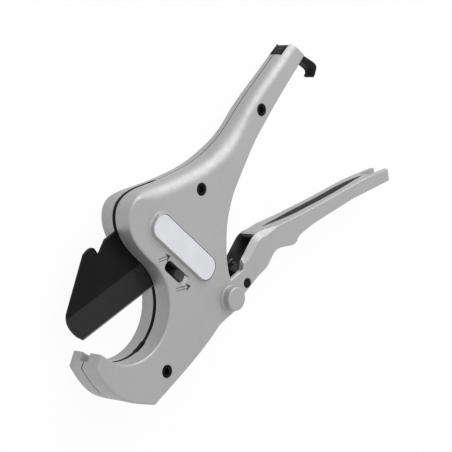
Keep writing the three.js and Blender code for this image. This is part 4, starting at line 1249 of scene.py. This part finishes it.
def makeLamps():
    for name, look in lampLooks.items():
        light = bpy.data.lights.new(name, "AREA")
        light.shape = "RECTANGLE"
        light.size, light.size_y = look["size"]
        light.energy = look["power"]
        lamp = bpy.data.objects.new(name, light)
        bpy.context.scene.collection.objects.link(lamp)
        direction = Vector(look["from"]).normalized()
        lamp.location = lampTarget + direction * look["distance"]
        lamp.rotation_euler = direction.to_track_quat("Z", "Y").to_euler()
    print("lamps:", len(lampLooks))


cameraLook = {"target": (0.0351, 0.0265, 0.0210), "distance": 1.098, "azimuth": -149.5, "elevation": 45.0,
              "roll": 94.5, "lens": 143.4}


def makeCamera():
    data = bpy.data.cameras.new("camera")
    data.lens = cameraLook["lens"]
    data.sensor_width = 36
    data.clip_end = 50
    camera = bpy.data.objects.new("camera", data)
    bpy.context.scene.collection.objects.link(camera)
    az, el = math.radians(cameraLook["azimuth"]), math.radians(cameraLook["elevation"])
    back = Vector((math.sin(az) * math.cos(el), -math.cos(az) * math.cos(el), math.sin(el)))
    camera.location = Vector(cameraLook["target"]) + back * cameraLook["distance"]
    camera.rotation_mode = "QUATERNION"
    roll = Matrix.Rotation(math.radians(cameraLook["roll"]), 4, "Z").to_quaternion()
    camera.rotation_quaternion = back.to_track_quat("Z", "Y") @ roll
    bpy.context.scene.camera = camera


makeCamera()
silver = castPaint("castPaint", castLook["shade"])
# a darker copy of the silver for the groove's walls: painted shade
grooveShade = castPaint("grooveShadePaint", castLook["shade"] * castLook["grooveShade"])
steel, groundSteel = blackSteel("blackSteel"), blackSteel("groundBlade", True)
turnedSteel, wire, cavityShade = plainFinish("plainSteel"), plainFinish("springSteel"), plainFinish("bareCastingShade")
plastic, greyPlasticAndRibSheen = plainFinish("blackPlastic"), plainFinish("sliderPlastic")
makeBody(silver, cavityShade)
makeHandle(silver, cavityShade, grooveShade)
makeBlade(groundSteel)
makePawls(steel)
makeSprings(wire)
makeScrews(steel)
makeLabel(plainFinish("platePaint"))
ribs = ribTree(greyPlasticAndRibSheen)
makeSlider(greyPlasticAndRibSheen, ribs)
makeLatch(plastic, greyPlasticAndRibSheen, ribs)
makeArrows(plainFinish("darkMarks"))
makeDrivePin(steel)
dressNodes(["jaw_spacer"], steel)
dressNodes(["blade_pivot_pin", "blade_washer_front", "blade_washer_rear", "handle_pivot_pin", "pivot_sleeve",
            "holding_pawl_pin", "latch_pin", "spring_post", "dowel_jaw", "dowel_grip"], turnedSteel)
dressNodes(["latch_spring"], wire)
makeFloor()
makeWorld()
makeLamps()
bpy.context.scene.view_settings.view_transform = "Standard"
